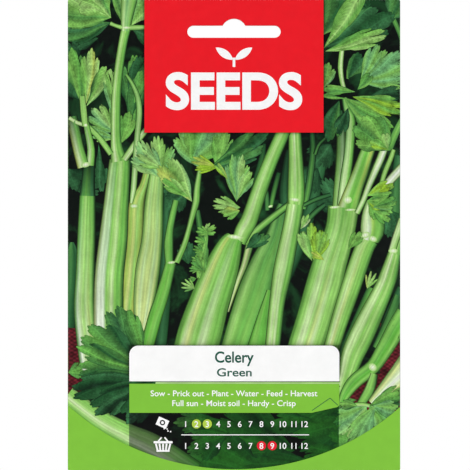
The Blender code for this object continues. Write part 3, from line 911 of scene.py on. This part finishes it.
def ink_at(letters, share):
    """The colour at a share of the way along a row of inks."""
    place = max(0.0, min(0.9999, share)) * (len(letters) - 1)
    k = int(place)
    low, high = INKS[letters[k]], INKS[letters[min(k + 1, len(letters) - 1)]]
    return [low[i] + (high[i] - low[i]) * (place - k) for i in range(3)]


def spine_at(stations, share):
    """A smooth curve through the stations: x, down and half width at a share of the way along."""
    place = max(0.0, min(0.9999, share)) * (len(stations) - 1)
    k = int(place)
    t = place - k
    four = [stations[max(0, min(len(stations) - 1, k + j))] for j in (-1, 0, 1, 2)]
    out = []
    for a, b, c, d in zip(*four):
        square, cube = 2 * a - 5 * b + 4 * c - d, 3 * b - a - 3 * c + d
        out.append(0.5 * (2 * b + (c - a) * t + square * t * t + cube * t**3))
    return out


def bent_grid(across, along, bend):
    """A grid whose bend gives each point's x, down, ink and map from its shares across and along."""
    part = new_print()
    verts = bmesh.ops.create_grid(part, x_segments=across, y_segments=along, size=1.0)["verts"]
    colours = part.verts.layers.float_color["Ink"]
    maps = part.loops.layers.uv["Print"]
    for vert in verts:
        x, down, colour, spot = bend((vert.co.x + 1) / 2, (vert.co.y + 1) / 2)
        vert[colours] = colour
        vert.co = (x, 0.0, -down)
        for loop in vert.link_loops:
            loop[maps].uv = spot
    return part


def stalk(row, grow=0.0, shade=1.0):
    """A printed stalk, stem or rib: a band along its spine, ribbed lengthways."""
    low, high, ribs, stations = row
    length = sum(math.dist(a[:2], b[:2]) for a, b in zip(stations, stations[1:]))
    width = 2 * max(station[2] for station in stations)

    def bend(u, v):
        x, down, half = spine_at(stations, v)
        ahead, behind = spine_at(stations, v + 0.01), spine_at(stations, v - 0.01)
        dx, dd = ahead[0] - behind[0], ahead[1] - behind[1]
        size = math.hypot(dx, dd) or 1.0
        offset = (2 * u - 1) * (half + grow)
        tone = shade * (1 + 0.12 * noise.noise(Vector((x * 0.12, down * 0.12, 0))))
        colour = [(f + (h - f) * v) * tone for f, h in zip(ink_at(low, u), ink_at(high, u))]
        inset = 1 - abs(2 * u - 1)
        return x - dd / size * offset, down + dx / size * offset, (*colour, inset), (u * ribs, v * length)

    across = min(28, max(round(width / 0.7), 2 * len(low) - 2, 4))
    part = bent_grid(across, max(3, math.ceil(length / 1.8)), bend)
    clip_to_panel(part)
    return part


def leaf(row, grow=0.0, shade=1.0):
    """A printed leaf: lobes spread like a fan from its base, each with its own midrib and teeth."""
    base_x, base_down, tip_x, tip_down, spread, lobes, letters, tooth = row
    length = math.dist((base_x, base_down), (tip_x, tip_down)) + grow
    facing = math.atan2(tip_down - base_down, tip_x - base_x)
    spread = math.radians(spread) * (1 + grow / length)
    teeth = max(1, min(6, round(length * 2 * spread / lobes / 1.5)))
    notch = 0.1 + 1.7 * tooth

    def bend(t, v):
        phase = (t * lobes) % 1.0
        lobe = math.sin(math.pi * phase) ** 0.6 if 0 < phase < 1 else 0.0
        reach = length * (1 - 0.42 * abs(2 * t - 1) ** 1.8) * (1 - notch + notch * lobe)
        reach *= 1 - tooth * (1 - abs(math.sin(teeth * math.pi * phase)))
        angle = facing + (2 * t - 1) * spread + 0.06 * math.sin(v * 6 + base_x) * v
        x, down = base_x + reach * v * math.cos(angle), base_down + reach * v * math.sin(angle)
        mottle = 1 + 0.3 * noise.noise(Vector((x * 0.3, down * 0.3, base_x)))
        tone = shade * (0.6 + 0.26 * lobe) * (1.02 - 0.1 * v) * mottle
        colour = [c * tone for c in ink_at(letters, t)]
        return x, down, (*colour, 1.0), (t * lobes, v * length / 3)

    part = bent_grid(lobes * max(10, 5 * teeth), max(4, math.ceil(length / 2.2)), bend)
    bmesh.ops.remove_doubles(part, verts=part.verts, dist=0.002)
    clip_to_panel(part)
    return part


def joint(x, down, wide, tall, turn):
    """A pale swollen joint, palest in the middle."""
    part = new_print()
    colours = part.verts.layers.float_color["Ink"]
    maps = part.loops.layers.uv["Print"]
    bmesh.ops.create_circle(part, cap_ends=True, cap_tris=True, segments=20, radius=1.0)
    bmesh.ops.subdivide_edges(part, edges=part.edges, cuts=1)
    c, s = math.cos(math.radians(turn)), math.sin(math.radians(turn))
    for vert in part.verts:
        vert[colours] = (*ink_at("wppll", vert.co.length), 1.0)
        a, b = vert.co.x * wide, vert.co.y * tall
        for loop in vert.link_loops:
            loop[maps].uv = (vert.co.x * 2, b)
        vert.co = (x + a * c - b * s, 0.0, -(down + a * s + b * c))
    clip_to_panel(part)
    return part


def print_rows(maker, rows, name, layers, rim=0.0):
    """One piece with a row of stalks or leaves, each over the one before, with a dark rim under each."""
    bm = new_print()
    for row in rows:
        part = maker(row)
        if not part.verts:
            continue
        level = layers.over(part)
        if rim:
            lay(bm, maker(row, rim, RIM_SHADE), level - 0.5)
        lay(bm, part, level)
    kind = maker.__name__  # stalk or leaf
    finish_piece(name, bm, printed_material(f"{kind}_print", kind))


# Operators


class SEEDPACKET_OT_paper(bpy.types.Operator):
    """Gives the folded envelope its printed and plain paper"""

    bl_idname = "seed_packet.paper"
    bl_label = "Folded paper"

    def execute(self, context):
        bm = bmesh.new()
        bm.from_mesh(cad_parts["envelope"].data)
        bmesh.ops.remove_doubles(bm, verts=bm.verts, dist=0.002 * MM)
        bm.normal_update()
        low, high = PACKET[0][2] + 0.6 * MM, PACKET[1][2] - 0.6 * MM
        for face in bm.faces:
            spot = face.calc_center_median()
            inside = abs(spot.x) < (HALF_WIDTH - 1) * MM and low < spot.z < high
            face.material_index = 1 if inside and abs(face.normal.y) < 0.5 else 0
        for edge in bm.edges:
            edge.smooth = not edge.is_manifold or edge.calc_face_angle() < math.radians(38)
        piece = finish_piece("paper_envelope", bm, self.paper_material(), film=0)
        white_core = grained_material(
            "paper_core",
            grain=(5000, 4.0),
            colours=[(0.84, 0.83, 0.79)],
            shade=(0.85, 1.05),
            rough=(0.8, 0.95),
            bump=(0.4, 0.00002),
        )
        piece.data.materials.append(white_core)
        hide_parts("envelope")
        return {"FINISHED"}

    def paper_material(self):
        """Coated white paper, printed green where the picture runs round the folds."""
        material, graph = new_material("printed_paper")
        places = graph.places()
        x, y, z = graph.axes(places)
        stems = graph.noise(graph.vector("MULTIPLY", places, (1.0, 1.0, 0.6)), 90, 3.0)
        bleed = graph.mix(graph.spread(stems, 0.42, 0.6, 0.0, 1.0), INKS["n"], INKS["e"])
        top = graph.math("GREATER_THAN", z, (TOP_EDGE - 2.0) * MM)
        middle = graph.math("LESS_THAN", graph.math("ABSOLUTE", x), looks().label_width / 2)
        bleed = graph.mix(graph.product(top, middle), bleed, looks().label_colour)
        foot = graph.math("LESS_THAN", z, (TOP_EDGE - CORNER_SIDE) * MM)
        bleed = graph.mix(foot, bleed, looks().band_colour)
        back = graph.math("GREATER_THAN", y, 0.1 * MM)
        plain = graph.scale((0.86, 0.87, 0.84), graph.tone(graph.noise(places, 260, 3.0), 0.97, 1.01))
        varnish(graph, places, graph.mix(back, bleed, plain))
        return material


class SEEDPACKET_OT_backdrop(bpy.types.Operator):
    """Prints the dark ground of the picture, with the hang hole punched through it"""

    bl_idname = "seed_packet.backdrop"
    bl_label = "Picture ground"

    def execute(self, context):
        bm = new_print()
        side, foot = HALF_WIDTH - BLEED, TALL - BLEED
        flat_shape(bm, [[(-side, BLEED), (side, BLEED), (side, foot), (-side, foot)], hang_hole()], 0)
        finish_piece("picture_ground", bm, self.ground_material())
        return {"FINISHED"}

    def ground_material(self):
        """Deep shade between the plants, blurred leaves in it, and dark red sacking low at both sides."""
        material, graph = new_material("ground_print")
        places = graph.places()
        x, _, z = graph.axes(places)
        leaves = graph.noise(places, 70, 4.0, 0.55, 1.2)
        green = graph.mix(graph.spread(leaves, 0.52, 0.8, 0.0, 1.0), INKS["k"], INKS["d"])
        stray = graph.tone(graph.noise(places, 120), 0.0, 6.0)
        slope = graph.math("ADD", graph.product(x, 2600.0), stray)
        rise = graph.product(z, 4600.0)
        weave = graph.spread(graph.math("SINE", graph.math("ADD", slope, rise)), -1, 1, 0.55, 1.15)
        cross = graph.spread(graph.math("SINE", graph.math("SUBTRACT", slope, rise)), -1, 1, 0.6, 1.15)
        worn = graph.tone(graph.noise(places, 300, 3.0), 0.3, 1.5)
        sacking = graph.scale(ink(104, 30, 38), graph.product(weave, cross, worn))
        low = graph.math("LESS_THAN", z, (TOP_EDGE - 112.0) * MM)
        lowest = graph.math("LESS_THAN", z, (TOP_EDGE - 129.5) * MM)
        foot = graph.product(lowest, graph.math("GREATER_THAN", x, 36 * MM))
        sides = graph.math("GREATER_THAN", graph.math("ABSOLUTE", x), 50.5 * MM)
        colour = graph.mix(graph.product(low, graph.math("MAXIMUM", sides, foot)), green, sacking)
        varnish(graph, places, overprinted(graph, colour))
        return material


class SEEDPACKET_OT_picture(bpy.types.Operator):
    """Prints the celery picture: stems and leaves in the shade, stalks, upper stems, joints and leaves"""

    bl_idname = "seed_packet.picture"
    bl_label = "Celery picture"

    def execute(self, context):
        layers = Layers()
        print_rows(stalk, SHADED_STEMS, "shaded_stems", layers)
        print_rows(leaf, SHADED_LEAVES, "shaded_leaves", layers)
        print_rows(leaf, BACK_LEAVES, "back_leaves", layers, LEAF_RIM)
        print_rows(stalk, STALKS, "stalks", layers, STALK_RIM)
        print_rows(stalk, UPPER_STEMS, "upper_stems", layers, STEM_RIM)
        bm = new_print()
        for row in JOINTS:
            part = joint(*row)
            lay(bm, part, layers.over(part))
        finish_piece("stalk_joints", bm, printed_material("stalk_print", "stalk"))
        print_rows(leaf, UPPER_LEAVES, "upper_leaves", layers, LEAF_RIM)
        print_rows(leaf, MIDDLE_LEAVES, "middle_leaves", layers, LEAF_RIM)
        print_rows(stalk, LOW_STALKS, "low_stalks", layers, LOW_RIM)
        print_rows(leaf, LOW_LEAVES, "low_leaves", layers, LEAF_RIM)
        return {"FINISHED"}


class SEEDPACKET_OT_label(bpy.types.Operator):
    """Prints the header label with its hang hole, a sprout mark and one plain word"""

    bl_idname = "seed_packet.label"
    bl_label = "Header label"

    def execute(self, context):
        half, foot = looks().label_width / MM / 2, looks().label_height / MM
        bm = bmesh.new()
        flat_shape(bm, [[(-half, BLEED), (half, BLEED), (half, foot), (-half, foot)], hang_hole()], OVER)
        flat_piece("header_label", bm, "label", looks().label_colour)
        bm = bmesh.new()
        lettering(bm, looks().label_word, 0, 31.35, 12.5, WORDS, wide=47.2, bold=0.035, turns=12)
        stroke(bm, [(0, 23.4), (0, 20.2)], 0.9, WORDS)
        for side in (-1, 1):
            flat_shape(bm, [seed_leaf((side * 0.3, 20.9), (side * 6.3, 16.7), 1.35)], WORDS)
        flat_piece("label_word", bm, "white")
        return {"FINISHED"}


class SEEDPACKET_OT_card(bpy.types.Operator):
    """Prints the white card with the crop's name and the green band of growing words"""

    bl_idname = "seed_packet.card"
    bl_label = "Card and band"

    def execute(self, context):
        half = looks().card_width / MM / 2
        left, right = CARD_X - half, CARD_X + half
        bm = bmesh.new()
        flat_shape(bm, [rounded(left, CARD_TOP, right, CARD_FOOT, CARD_RADIUS, lower=False)], OVER)
        flat_piece("name_card", bm, "card")
        bm = bmesh.new()
        lettering(bm, looks().crop_word, CARD_X, 123.5, 3.9, WORDS, wide=13.4, bold=0.018, turns=8)
        lettering(bm, "Green", CARD_X, 128.8, 2.9, WORDS, wide=12.0, bold=0.014, turns=8)
        flat_piece("card_words", bm, "word", looks().word_colour)
        bm = bmesh.new()
        lifted = [(right, 140.3), (right - 0.6, 140.9), (right - 9.5, BAND_FOOT)]
        flat_shape(bm, [[(left, BAND_TOP), (right, BAND_TOP), *lifted, (left, BAND_FOOT)]], OVER)
        flat_piece("green_band", bm, "band", looks().band_colour)
        bm = bmesh.new()
        for words, down, wide in BAND_WORDS:
            lettering(bm, words, 0, down, 2.1, WORDS, wide=wide, bold=0.01)
        flat_piece("band_words", bm, "white")
        bm = bmesh.new()
        stroke(bm, [(right - 9.4, 142.1), (right - 3.2, 137.8), (right - 0.5, 140.3)], 0.22, OVER + 2)
        flat_piece("band_fold_line", bm, "word", looks().word_colour)
        return {"FINISHED"}


def calendar(rows, place, level, ink_name, colour, prefix):
    """Two rows of month numbers with dots behind the sowing and the harvest months."""
    bm = bmesh.new()
    for down in rows:
        for month, x in MONTH_X.items():
            lettering(bm, str(month), x, down, 2.1, level + 3, bold=0.012, place=place)
    middle = (rows[0] + rows[1]) / 2
    stroke(bm, [(MONTH_X[1] - 1.5, middle), (MONTH_X[12] + 1.5, middle)], 0.3, level, place)
    flat_piece(f"{prefix}_months", bm, ink_name, colour)
    dots = (("sowing", SOW_MONTHS, looks().sow_colour), ("harvest", PICK_MONTHS, looks().pick_colour))
    for down, (name, months, dot_colour) in zip(rows, dots):
        bm = bmesh.new()
        for month in months:
            flat_shape(bm, [disc(MONTH_X[month], down, 1.6)], level, place)
        flat_piece(f"{prefix}_{name}_dots", bm, f"{name}_dot", dot_colour)


class SEEDPACKET_OT_calendar(bpy.types.Operator):
    """Prints the sowing and harvest months with a packet and a basket beside them"""

    bl_idname = "seed_packet.calendar"
    bl_label = "Growing calendar"

    def execute(self, context):
        calendar((146.75, 154.3), on_front, OVER, "white", WHITE, "calendar")
        bm = bmesh.new()
        self.packet_mark(bm, -24.7, 146.3)
        self.basket_mark(bm, -24.5, 153.6)
        flat_piece("calendar_marks", bm, "white")
        return {"FINISHED"}

    def packet_mark(self, bm, x, down):
        """A small tilted seed packet, a seed on it and seeds dropping out of its corner."""
        c, s = math.cos(math.radians(24)), math.sin(math.radians(24))

        def turned(points):
            return [(x + a * c - b * s, down + a * s + b * c) for a, b in points]

        packet = [(-1.95, -1.5), (1.95, -1.5), (1.95, 1.5), (-1.95, 1.5)]
        flat_shape(bm, [turned(packet), turned(disc(0, 0, 0.95, 16))], OVER)
        flat_shape(bm, [turned(disc(0, 0, 0.5, 12))], OVER)
        for a, b in ((0.6, 2.1), (1.6, 2.2), (1.9, 2.9), (2.8, 3.1)):
            flat_shape(bm, [disc(x + a, down + b, 0.26, 8)], OVER)

    def basket_mark(self, bm, x, down):
        """A small basket: rim, sloping sides with slats, and two handles that lean inwards."""
        flat_shape(bm, [rounded(x - 3.3, down - 0.9, x + 3.3, down - 0.1, 0.3)], OVER)
        for k in range(-2, 3):
            stroke(bm, [(x + k * 1.25, down), (x + k * 0.95, down + 2.3)], 0.62, OVER)
        flat_shape(bm, [rounded(x - 2.3, down + 2.2, x + 2.3, down + 2.8, 0.25)], OVER)
        for side in (-1, 1):
            stroke(bm, [(x + side * 1.7, down - 0.8), (x + side * 0.5, down - 2.2)], 0.5, OVER)


class SEEDPACKET_OT_corners(bpy.types.Operator):
    """Prints the plain lower corners, bounded by a wide arc"""

    bl_idname = "seed_packet.corners"
    bl_label = "Lower corners"

    def execute(self, context):
        bm, part = bmesh.new(), bmesh.new()
        side, foot = HALF_WIDTH - BLEED, TALL - BLEED
        verts = bmesh.ops.create_grid(part, x_segments=72, y_segments=14, size=1.0)["verts"]
        for vert in verts:
            x = vert.co.x * side
            top = ARC_DOWN + math.sqrt(ARC_RADIUS**2 - (x - ARC_X) ** 2)
            vert.co = (x, 0.0, -(top + (foot - top) * (1 - vert.co.y) / 2))
        lay(bm, part, OVER + 6)
        flat_piece("lower_corners", bm, "corner", looks().band_colour)
        return {"FINISHED"}


class SEEDPACKET_OT_back(bpy.types.Operator):
    """Prints the back: coloured flaps, the crop's name, growing notes, a spacing sketch and a calendar"""

    bl_idname = "seed_packet.back"
    bl_label = "Back print"

    def execute(self, context):
        self.flaps()
        self.words()
        self.sketch()
        calendar((104.0, 112.0), on_back, BACK, "word", looks().word_colour, "back")
        bm = bmesh.new()
        for k in range(3):
            self.rule(bm, -40, 40, 124.0 + 6.0 * k, 0.25)
        flat_piece("back_note_lines", bm, "line", (0.35, 0.36, 0.35))
        return {"FINISHED"}

    def rule(self, bm, left, right, down, width):
        stroke(bm, [(left, down), (right, down)], width, BACK, on_back)

    def flaps(self):
        """The top and bottom flaps in the band's colour, with their corners cut off."""
        side, margin, corner = HALF_WIDTH - 1.6, 1.2, 4
        top, low, foot = TOP_FLAP - 0.8, TALL - BOTTOM_FLAP + 0.8, TALL - margin
        inner = side - corner
        bm = bmesh.new()
        head = [(side, margin), (side, top - corner), (inner, top), (-inner, top), (-side, top - corner)]
        flat_shape(bm, [[(-side, margin), *head], hang_hole()], BACK, on_back)
        sole = [(side, low + corner), (side, foot), (-side, foot), (-side, low + corner)]
        flat_shape(bm, [[(-inner, low), (inner, low), *sole]], BACK, on_back)
        flat_piece("back_flap_print", bm, "band", looks().band_colour)

    def words(self):
        """The crop's name, the growing notes, and marks for them: a sown seed, a spacing line and a clock."""
        bm = bmesh.new()
        lettering(bm, looks().crop_word, 0, 29.0, 5.2, BACK, bold=0.02, place=on_back)
        for k, line in enumerate(GROWING_NOTES):
            lettering(bm, line, 0, 40.0 + 5.2 * k, 2.2, BACK, bold=0.006, place=on_back)
        self.rule(bm, -46, 46, 34.8, 0.3)
        self.rule(bm, -46, 46, 73.0, 0.3)
        for x, words in SKETCH_WORDS:
            lettering(bm, words, x, 92.5, 2.2, BACK, bold=0.006, place=on_back)
        self.rule(bm, -38, -22, 84, 0.35)
        flat_shape(bm, [disc(-30, 87.0, 0.8, 14)], BACK, on_back)
        self.rule(bm, -6, 6, 89.4, 0.35)
        flat_shape(bm, [disc(30, 82.6, 4.6, 32), disc(30, 82.6, 4.1, 32)], BACK, on_back)
        for hand in ((30, 79.6), (32.2, 83.8)):
            stroke(bm, [(30, 82.6), hand], 0.4, BACK, on_back)
        flat_piece("back_words", bm, "word", looks().word_colour)

    def sketch(self):
        """Two small celery plants, three stalks and three leaves each."""
        bm = bmesh.new()
        for x in (-6, 6):
            for lean in (-1.4, 0.0, 1.4):
                stroke(bm, [(x + lean * 0.3, 88.6), (x + lean, 81.5)], 0.8, BACK, on_back)
            for lean in (-2.1, 0.0, 2.1):
                flat_shape(bm, [disc(x + lean, 80.2 + abs(lean) * 0.3, 1.2, 12)], BACK + 1, on_back)
        flat_piece("back_sketch", bm, "sketch", looks().band_colour)


def in_millimetres(box):
    return [[value / MM for value in corner] for corner in box]


class SEEDPACKET_OT_sachet(bpy.types.Operator):
    """Makes the two films of the sachet, crimped together round their border"""

    bl_idname = "seed_packet.sachet"
    bl_label = "Inner sachet"

    def execute(self, context):
        (left, near, low), (right, _, high) = in_millimetres(SACHET)
        middle_x, middle_z = (left + right) / 2, (low + high) / 2
        bulge = -near - SACHET_FILM - SEAL_GAP
        material = grained_material(
            "silvery_film",
            grain=(160, 5.0, 0.6, 0.8),
            colours=[(0.78, 0.78, 0.76)],
            shade=(0.9, 1.05),
            rough=(0.28, 0.42),
            bump=(0.5, 0.0002),
        )
        material.node_tree.nodes["Principled BSDF"].inputs["Metallic"].default_value = 0.6
        for name, side in (("front_film", -1), ("back_film", 1)):
            bm = bmesh.new()
            verts = bmesh.ops.create_grid(bm, x_segments=96, y_segments=140, size=1.0)["verts"]
            for vert in verts:
                x = left + (right - left) * (vert.co.x + 1) / 2
                z = low + (high - low) * (vert.co.y + 1) / 2
                across = min(1.0, abs(x - middle_x) / ((right - left) / 2 - SEAL))
                along = max(-1.0, min(1.0, (z - middle_z) / ((high - low) / 2 - SEAL)))
                end = (1 - along**2) ** 1.5 if along > 0 else 1 - along**4
                sealed = across >= 1 or abs(along) >= 1
                crimp = CRIMP * math.sin((x + z) * math.tau / CRIMP_PITCH) if sealed else 0.0
                y = side * (SACHET_FILM + SEAL_GAP + bulge * (1 - across**3) * end) + crimp
                vert.co = Vector((x, y, z)) * MM
            bm.normal_update()
            turned = [face for face in bm.faces if face.normal.y * side < 0]
            bmesh.ops.reverse_faces(bm, faces=turned)
            piece = finish_piece(name, bm, material, film=SACHET_FILM)
            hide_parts(f"sachet_{name}")
        return {"FINISHED"}


class SEEDPACKET_OT_seeds(bpy.types.Operator):
    """Pours the seeds: small ridged ovals in a settled heap"""

    bl_idname = "seed_packet.seeds"
    bl_label = "Celery seeds"

    def execute(self, context):
        (left, near, low), (right, far, high) = in_millimetres(HEAP)
        chance = random.Random(7)
        bm = bmesh.new()
        taken = {}
        made = tries = 0
        while made < looks().seed_count and tries < MOST_TRIES:
            tries += 1
            a, b = chance.uniform(-1, 1), chance.uniform(-1, 1)
            spread = abs(a) ** 3 + abs(b) ** 3
            if spread > 0.93:
                continue
            room = (far - near) / 2 * (1 - spread ** (2 / 3)) - 0.3
            if room < 0:
                continue
            x = (left + right) / 2 + a * (right - left) / 2
            z = (low + high) / 2 + b * (high - low) / 2
            place = (x, chance.uniform(-room, room), z)
            spot = Vector(place)
            cell = tuple(int(value // SEED_CELL) for value in place)
            steps = itertools.product((-1, 0, 1), repeat=3)
            close = [taken.get(tuple(c + step for c, step in zip(cell, way))) for way in steps]
            if any(other is not None and (other - spot).length < SEED_APART for other in close):
                continue
            taken[cell] = spot
            self.seed(bm, spot, chance)
            made += 1
        material = grained_material(
            "seed_coat",
            grain=(1400, 4.0, 0.6),
            colours=[(0.10, 0.055, 0.022), (0.30, 0.20, 0.10)],
            shade=(0.35, 0.65),
            rough=(0.75, 0.95),
            bump=(0.6, 0.00005),
        )
        piece = finish_piece("loose_seeds", bm, material, film=0)
        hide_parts("celery_seeds")
        return {"FINISHED"}

    def seed(self, bm, spot, chance):
        """One seed: a plump crescent with five ribs, about 1.3 mm long."""
        part = bmesh.new()
        verts = bmesh.ops.create_uvsphere(part, u_segments=10, v_segments=5, radius=0.5)["verts"]
        size = chance.uniform(0.85, 1.1)
        roll = Matrix.Rotation(chance.uniform(0, math.tau), 4, "Y")
        turn = roll @ Matrix.Rotation(chance.uniform(-0.4, 0.4), 4, "X")
        for vert in verts:
            x, y, z = vert.co
            rib = 1 + 0.1 * math.cos(5 * math.atan2(y, x))
            shaped = Vector((x * 0.62 * rib + 0.25 * z * z, y * 0.55 * rib, z * 1.25)) * size
            vert.co = (spot + turn @ shaped) * MM
        add_part(bm, part)


class SEEDPACKET_OT_stage(bpy.types.Operator):
    """Sets the pale floor, the soft lights, the white surroundings and the camera"""

    bl_idname = "seed_packet.stage"
    bl_label = "Stage"

    def execute(self, context):
        self.floor()
        self.surroundings(context.scene)
        middle = Vector((VIEW_X, 0.0, TOP_EDGE - TALL / 2)) * MM
        self.soft_light("key_light", (-1.0, -0.75, 0.45), 0.8, 11.6, middle)
        self.soft_light("fill_light", (1.0, -0.75, 0.2), 0.8, 10.2, middle)
        self.soft_light("rear_light", (-0.5, 1.1, 0.5), 0.9, 12.0, middle)
        camera_data = bpy.data.cameras.new("packet_camera")
        camera_data.lens = LENS
        camera_data.sensor_width = SENSOR
        camera = bpy.data.objects.new("packet_camera", camera_data)
        context.scene.collection.objects.link(camera)
        distance = TALL * LENS / SENSOR * VIEW_SHARE + SHEET_AHEAD
        camera.location = middle - Vector((0, distance, 0)) * MM
        camera.rotation_euler = (math.radians(90), 0, 0)
        context.scene.camera = camera
        return {"FINISHED"}

    def floor(self):
        bm = bmesh.new()
        bmesh.ops.create_circle(bm, cap_ends=True, segments=96, radius=0.35)
        bmesh.ops.translate(bm, verts=bm.verts, vec=(0, 0, PACKET[0][2] - 50 * MM))
        mesh = bpy.data.meshes.new("floor")
        bm.to_mesh(mesh)
        bm.free()
        material = grained_material(
            "pale_floor",
            grain=(30, 4.0),
            colours=[(0.82, 0.82, 0.81)],
            shade=(0.98, 1.01),
            rough=(0.85, 0.95),
            bump=(0.1, 0.0005),
        )
        mesh.materials.append(material)
        floor = bpy.data.objects.new("floor", mesh)
        bpy.context.scene.collection.objects.link(floor)

    def surroundings(self, scene):
        """White where the camera sees past the packet, softer where it only lights it."""
        scene.view_settings.view_transform = "Standard"
        world = bpy.data.worlds.new("studio")
        scene.world = world
        world.use_nodes = True
        graph = Graph(world.node_tree)
        strength = graph.spread(graph.node("ShaderNodeLightPath"), 0, 1, 0.16, 1.0)
        background = world.node_tree.nodes["Background"]
        background.inputs[0].default_value = (1, 1, 1, 1)
        world.node_tree.links.new(strength, background.inputs[1])

    def soft_light(self, name, place, size, power, target):
        data = bpy.data.lights.new(name, "AREA")
        data.shape = "DISK"
        data.size = size
        data.energy = power
        light = bpy.data.objects.new(name, data)
        bpy.context.scene.collection.objects.link(light)
        light.location = place
        light.rotation_euler = (target - Vector(place)).to_track_quat("-Z", "Y").to_euler()


PRINTING = ("paper", "backdrop", "picture", "label", "card", "calendar", "corners", "back")
STEPS = (*PRINTING, "sachet", "seeds", "stage")


class SEEDPACKET_PT_panel(bpy.types.Panel):
    """Lists the packet's pieces and what can be changed on them"""

    bl_idname = "SEEDPACKET_PT_panel"
    bl_label = "Seed Packet"
    bl_space_type = "VIEW_3D"
    bl_region_type = "UI"
    bl_category = "Seed Packet"

    def draw(self, context):
        for name in PacketLooks.__annotations__:
            self.layout.prop(context.scene.packet_looks, name)
        for step in STEPS:
            self.layout.operator(f"seed_packet.{step}")


CLASSES = (
    PacketLooks,
    SEEDPACKET_OT_paper,
    SEEDPACKET_OT_backdrop,
    SEEDPACKET_OT_picture,
    SEEDPACKET_OT_label,
    SEEDPACKET_OT_card,
    SEEDPACKET_OT_calendar,
    SEEDPACKET_OT_corners,
    SEEDPACKET_OT_back,
    SEEDPACKET_OT_sachet,
    SEEDPACKET_OT_seeds,
    SEEDPACKET_OT_stage,
    SEEDPACKET_PT_panel,
)


def register():
    for cls in CLASSES:
        bpy.utils.register_class(cls)
    bpy.types.Scene.packet_looks = PointerProperty(type=PacketLooks)


def unregister():
    del bpy.types.Scene.packet_looks
    for cls in reversed(CLASSES):
        bpy.utils.unregister_class(cls)


def main():
    register()
    for step in STEPS:
        getattr(bpy.ops.seed_packet, step)()


if __name__ == "__main__":
    main()
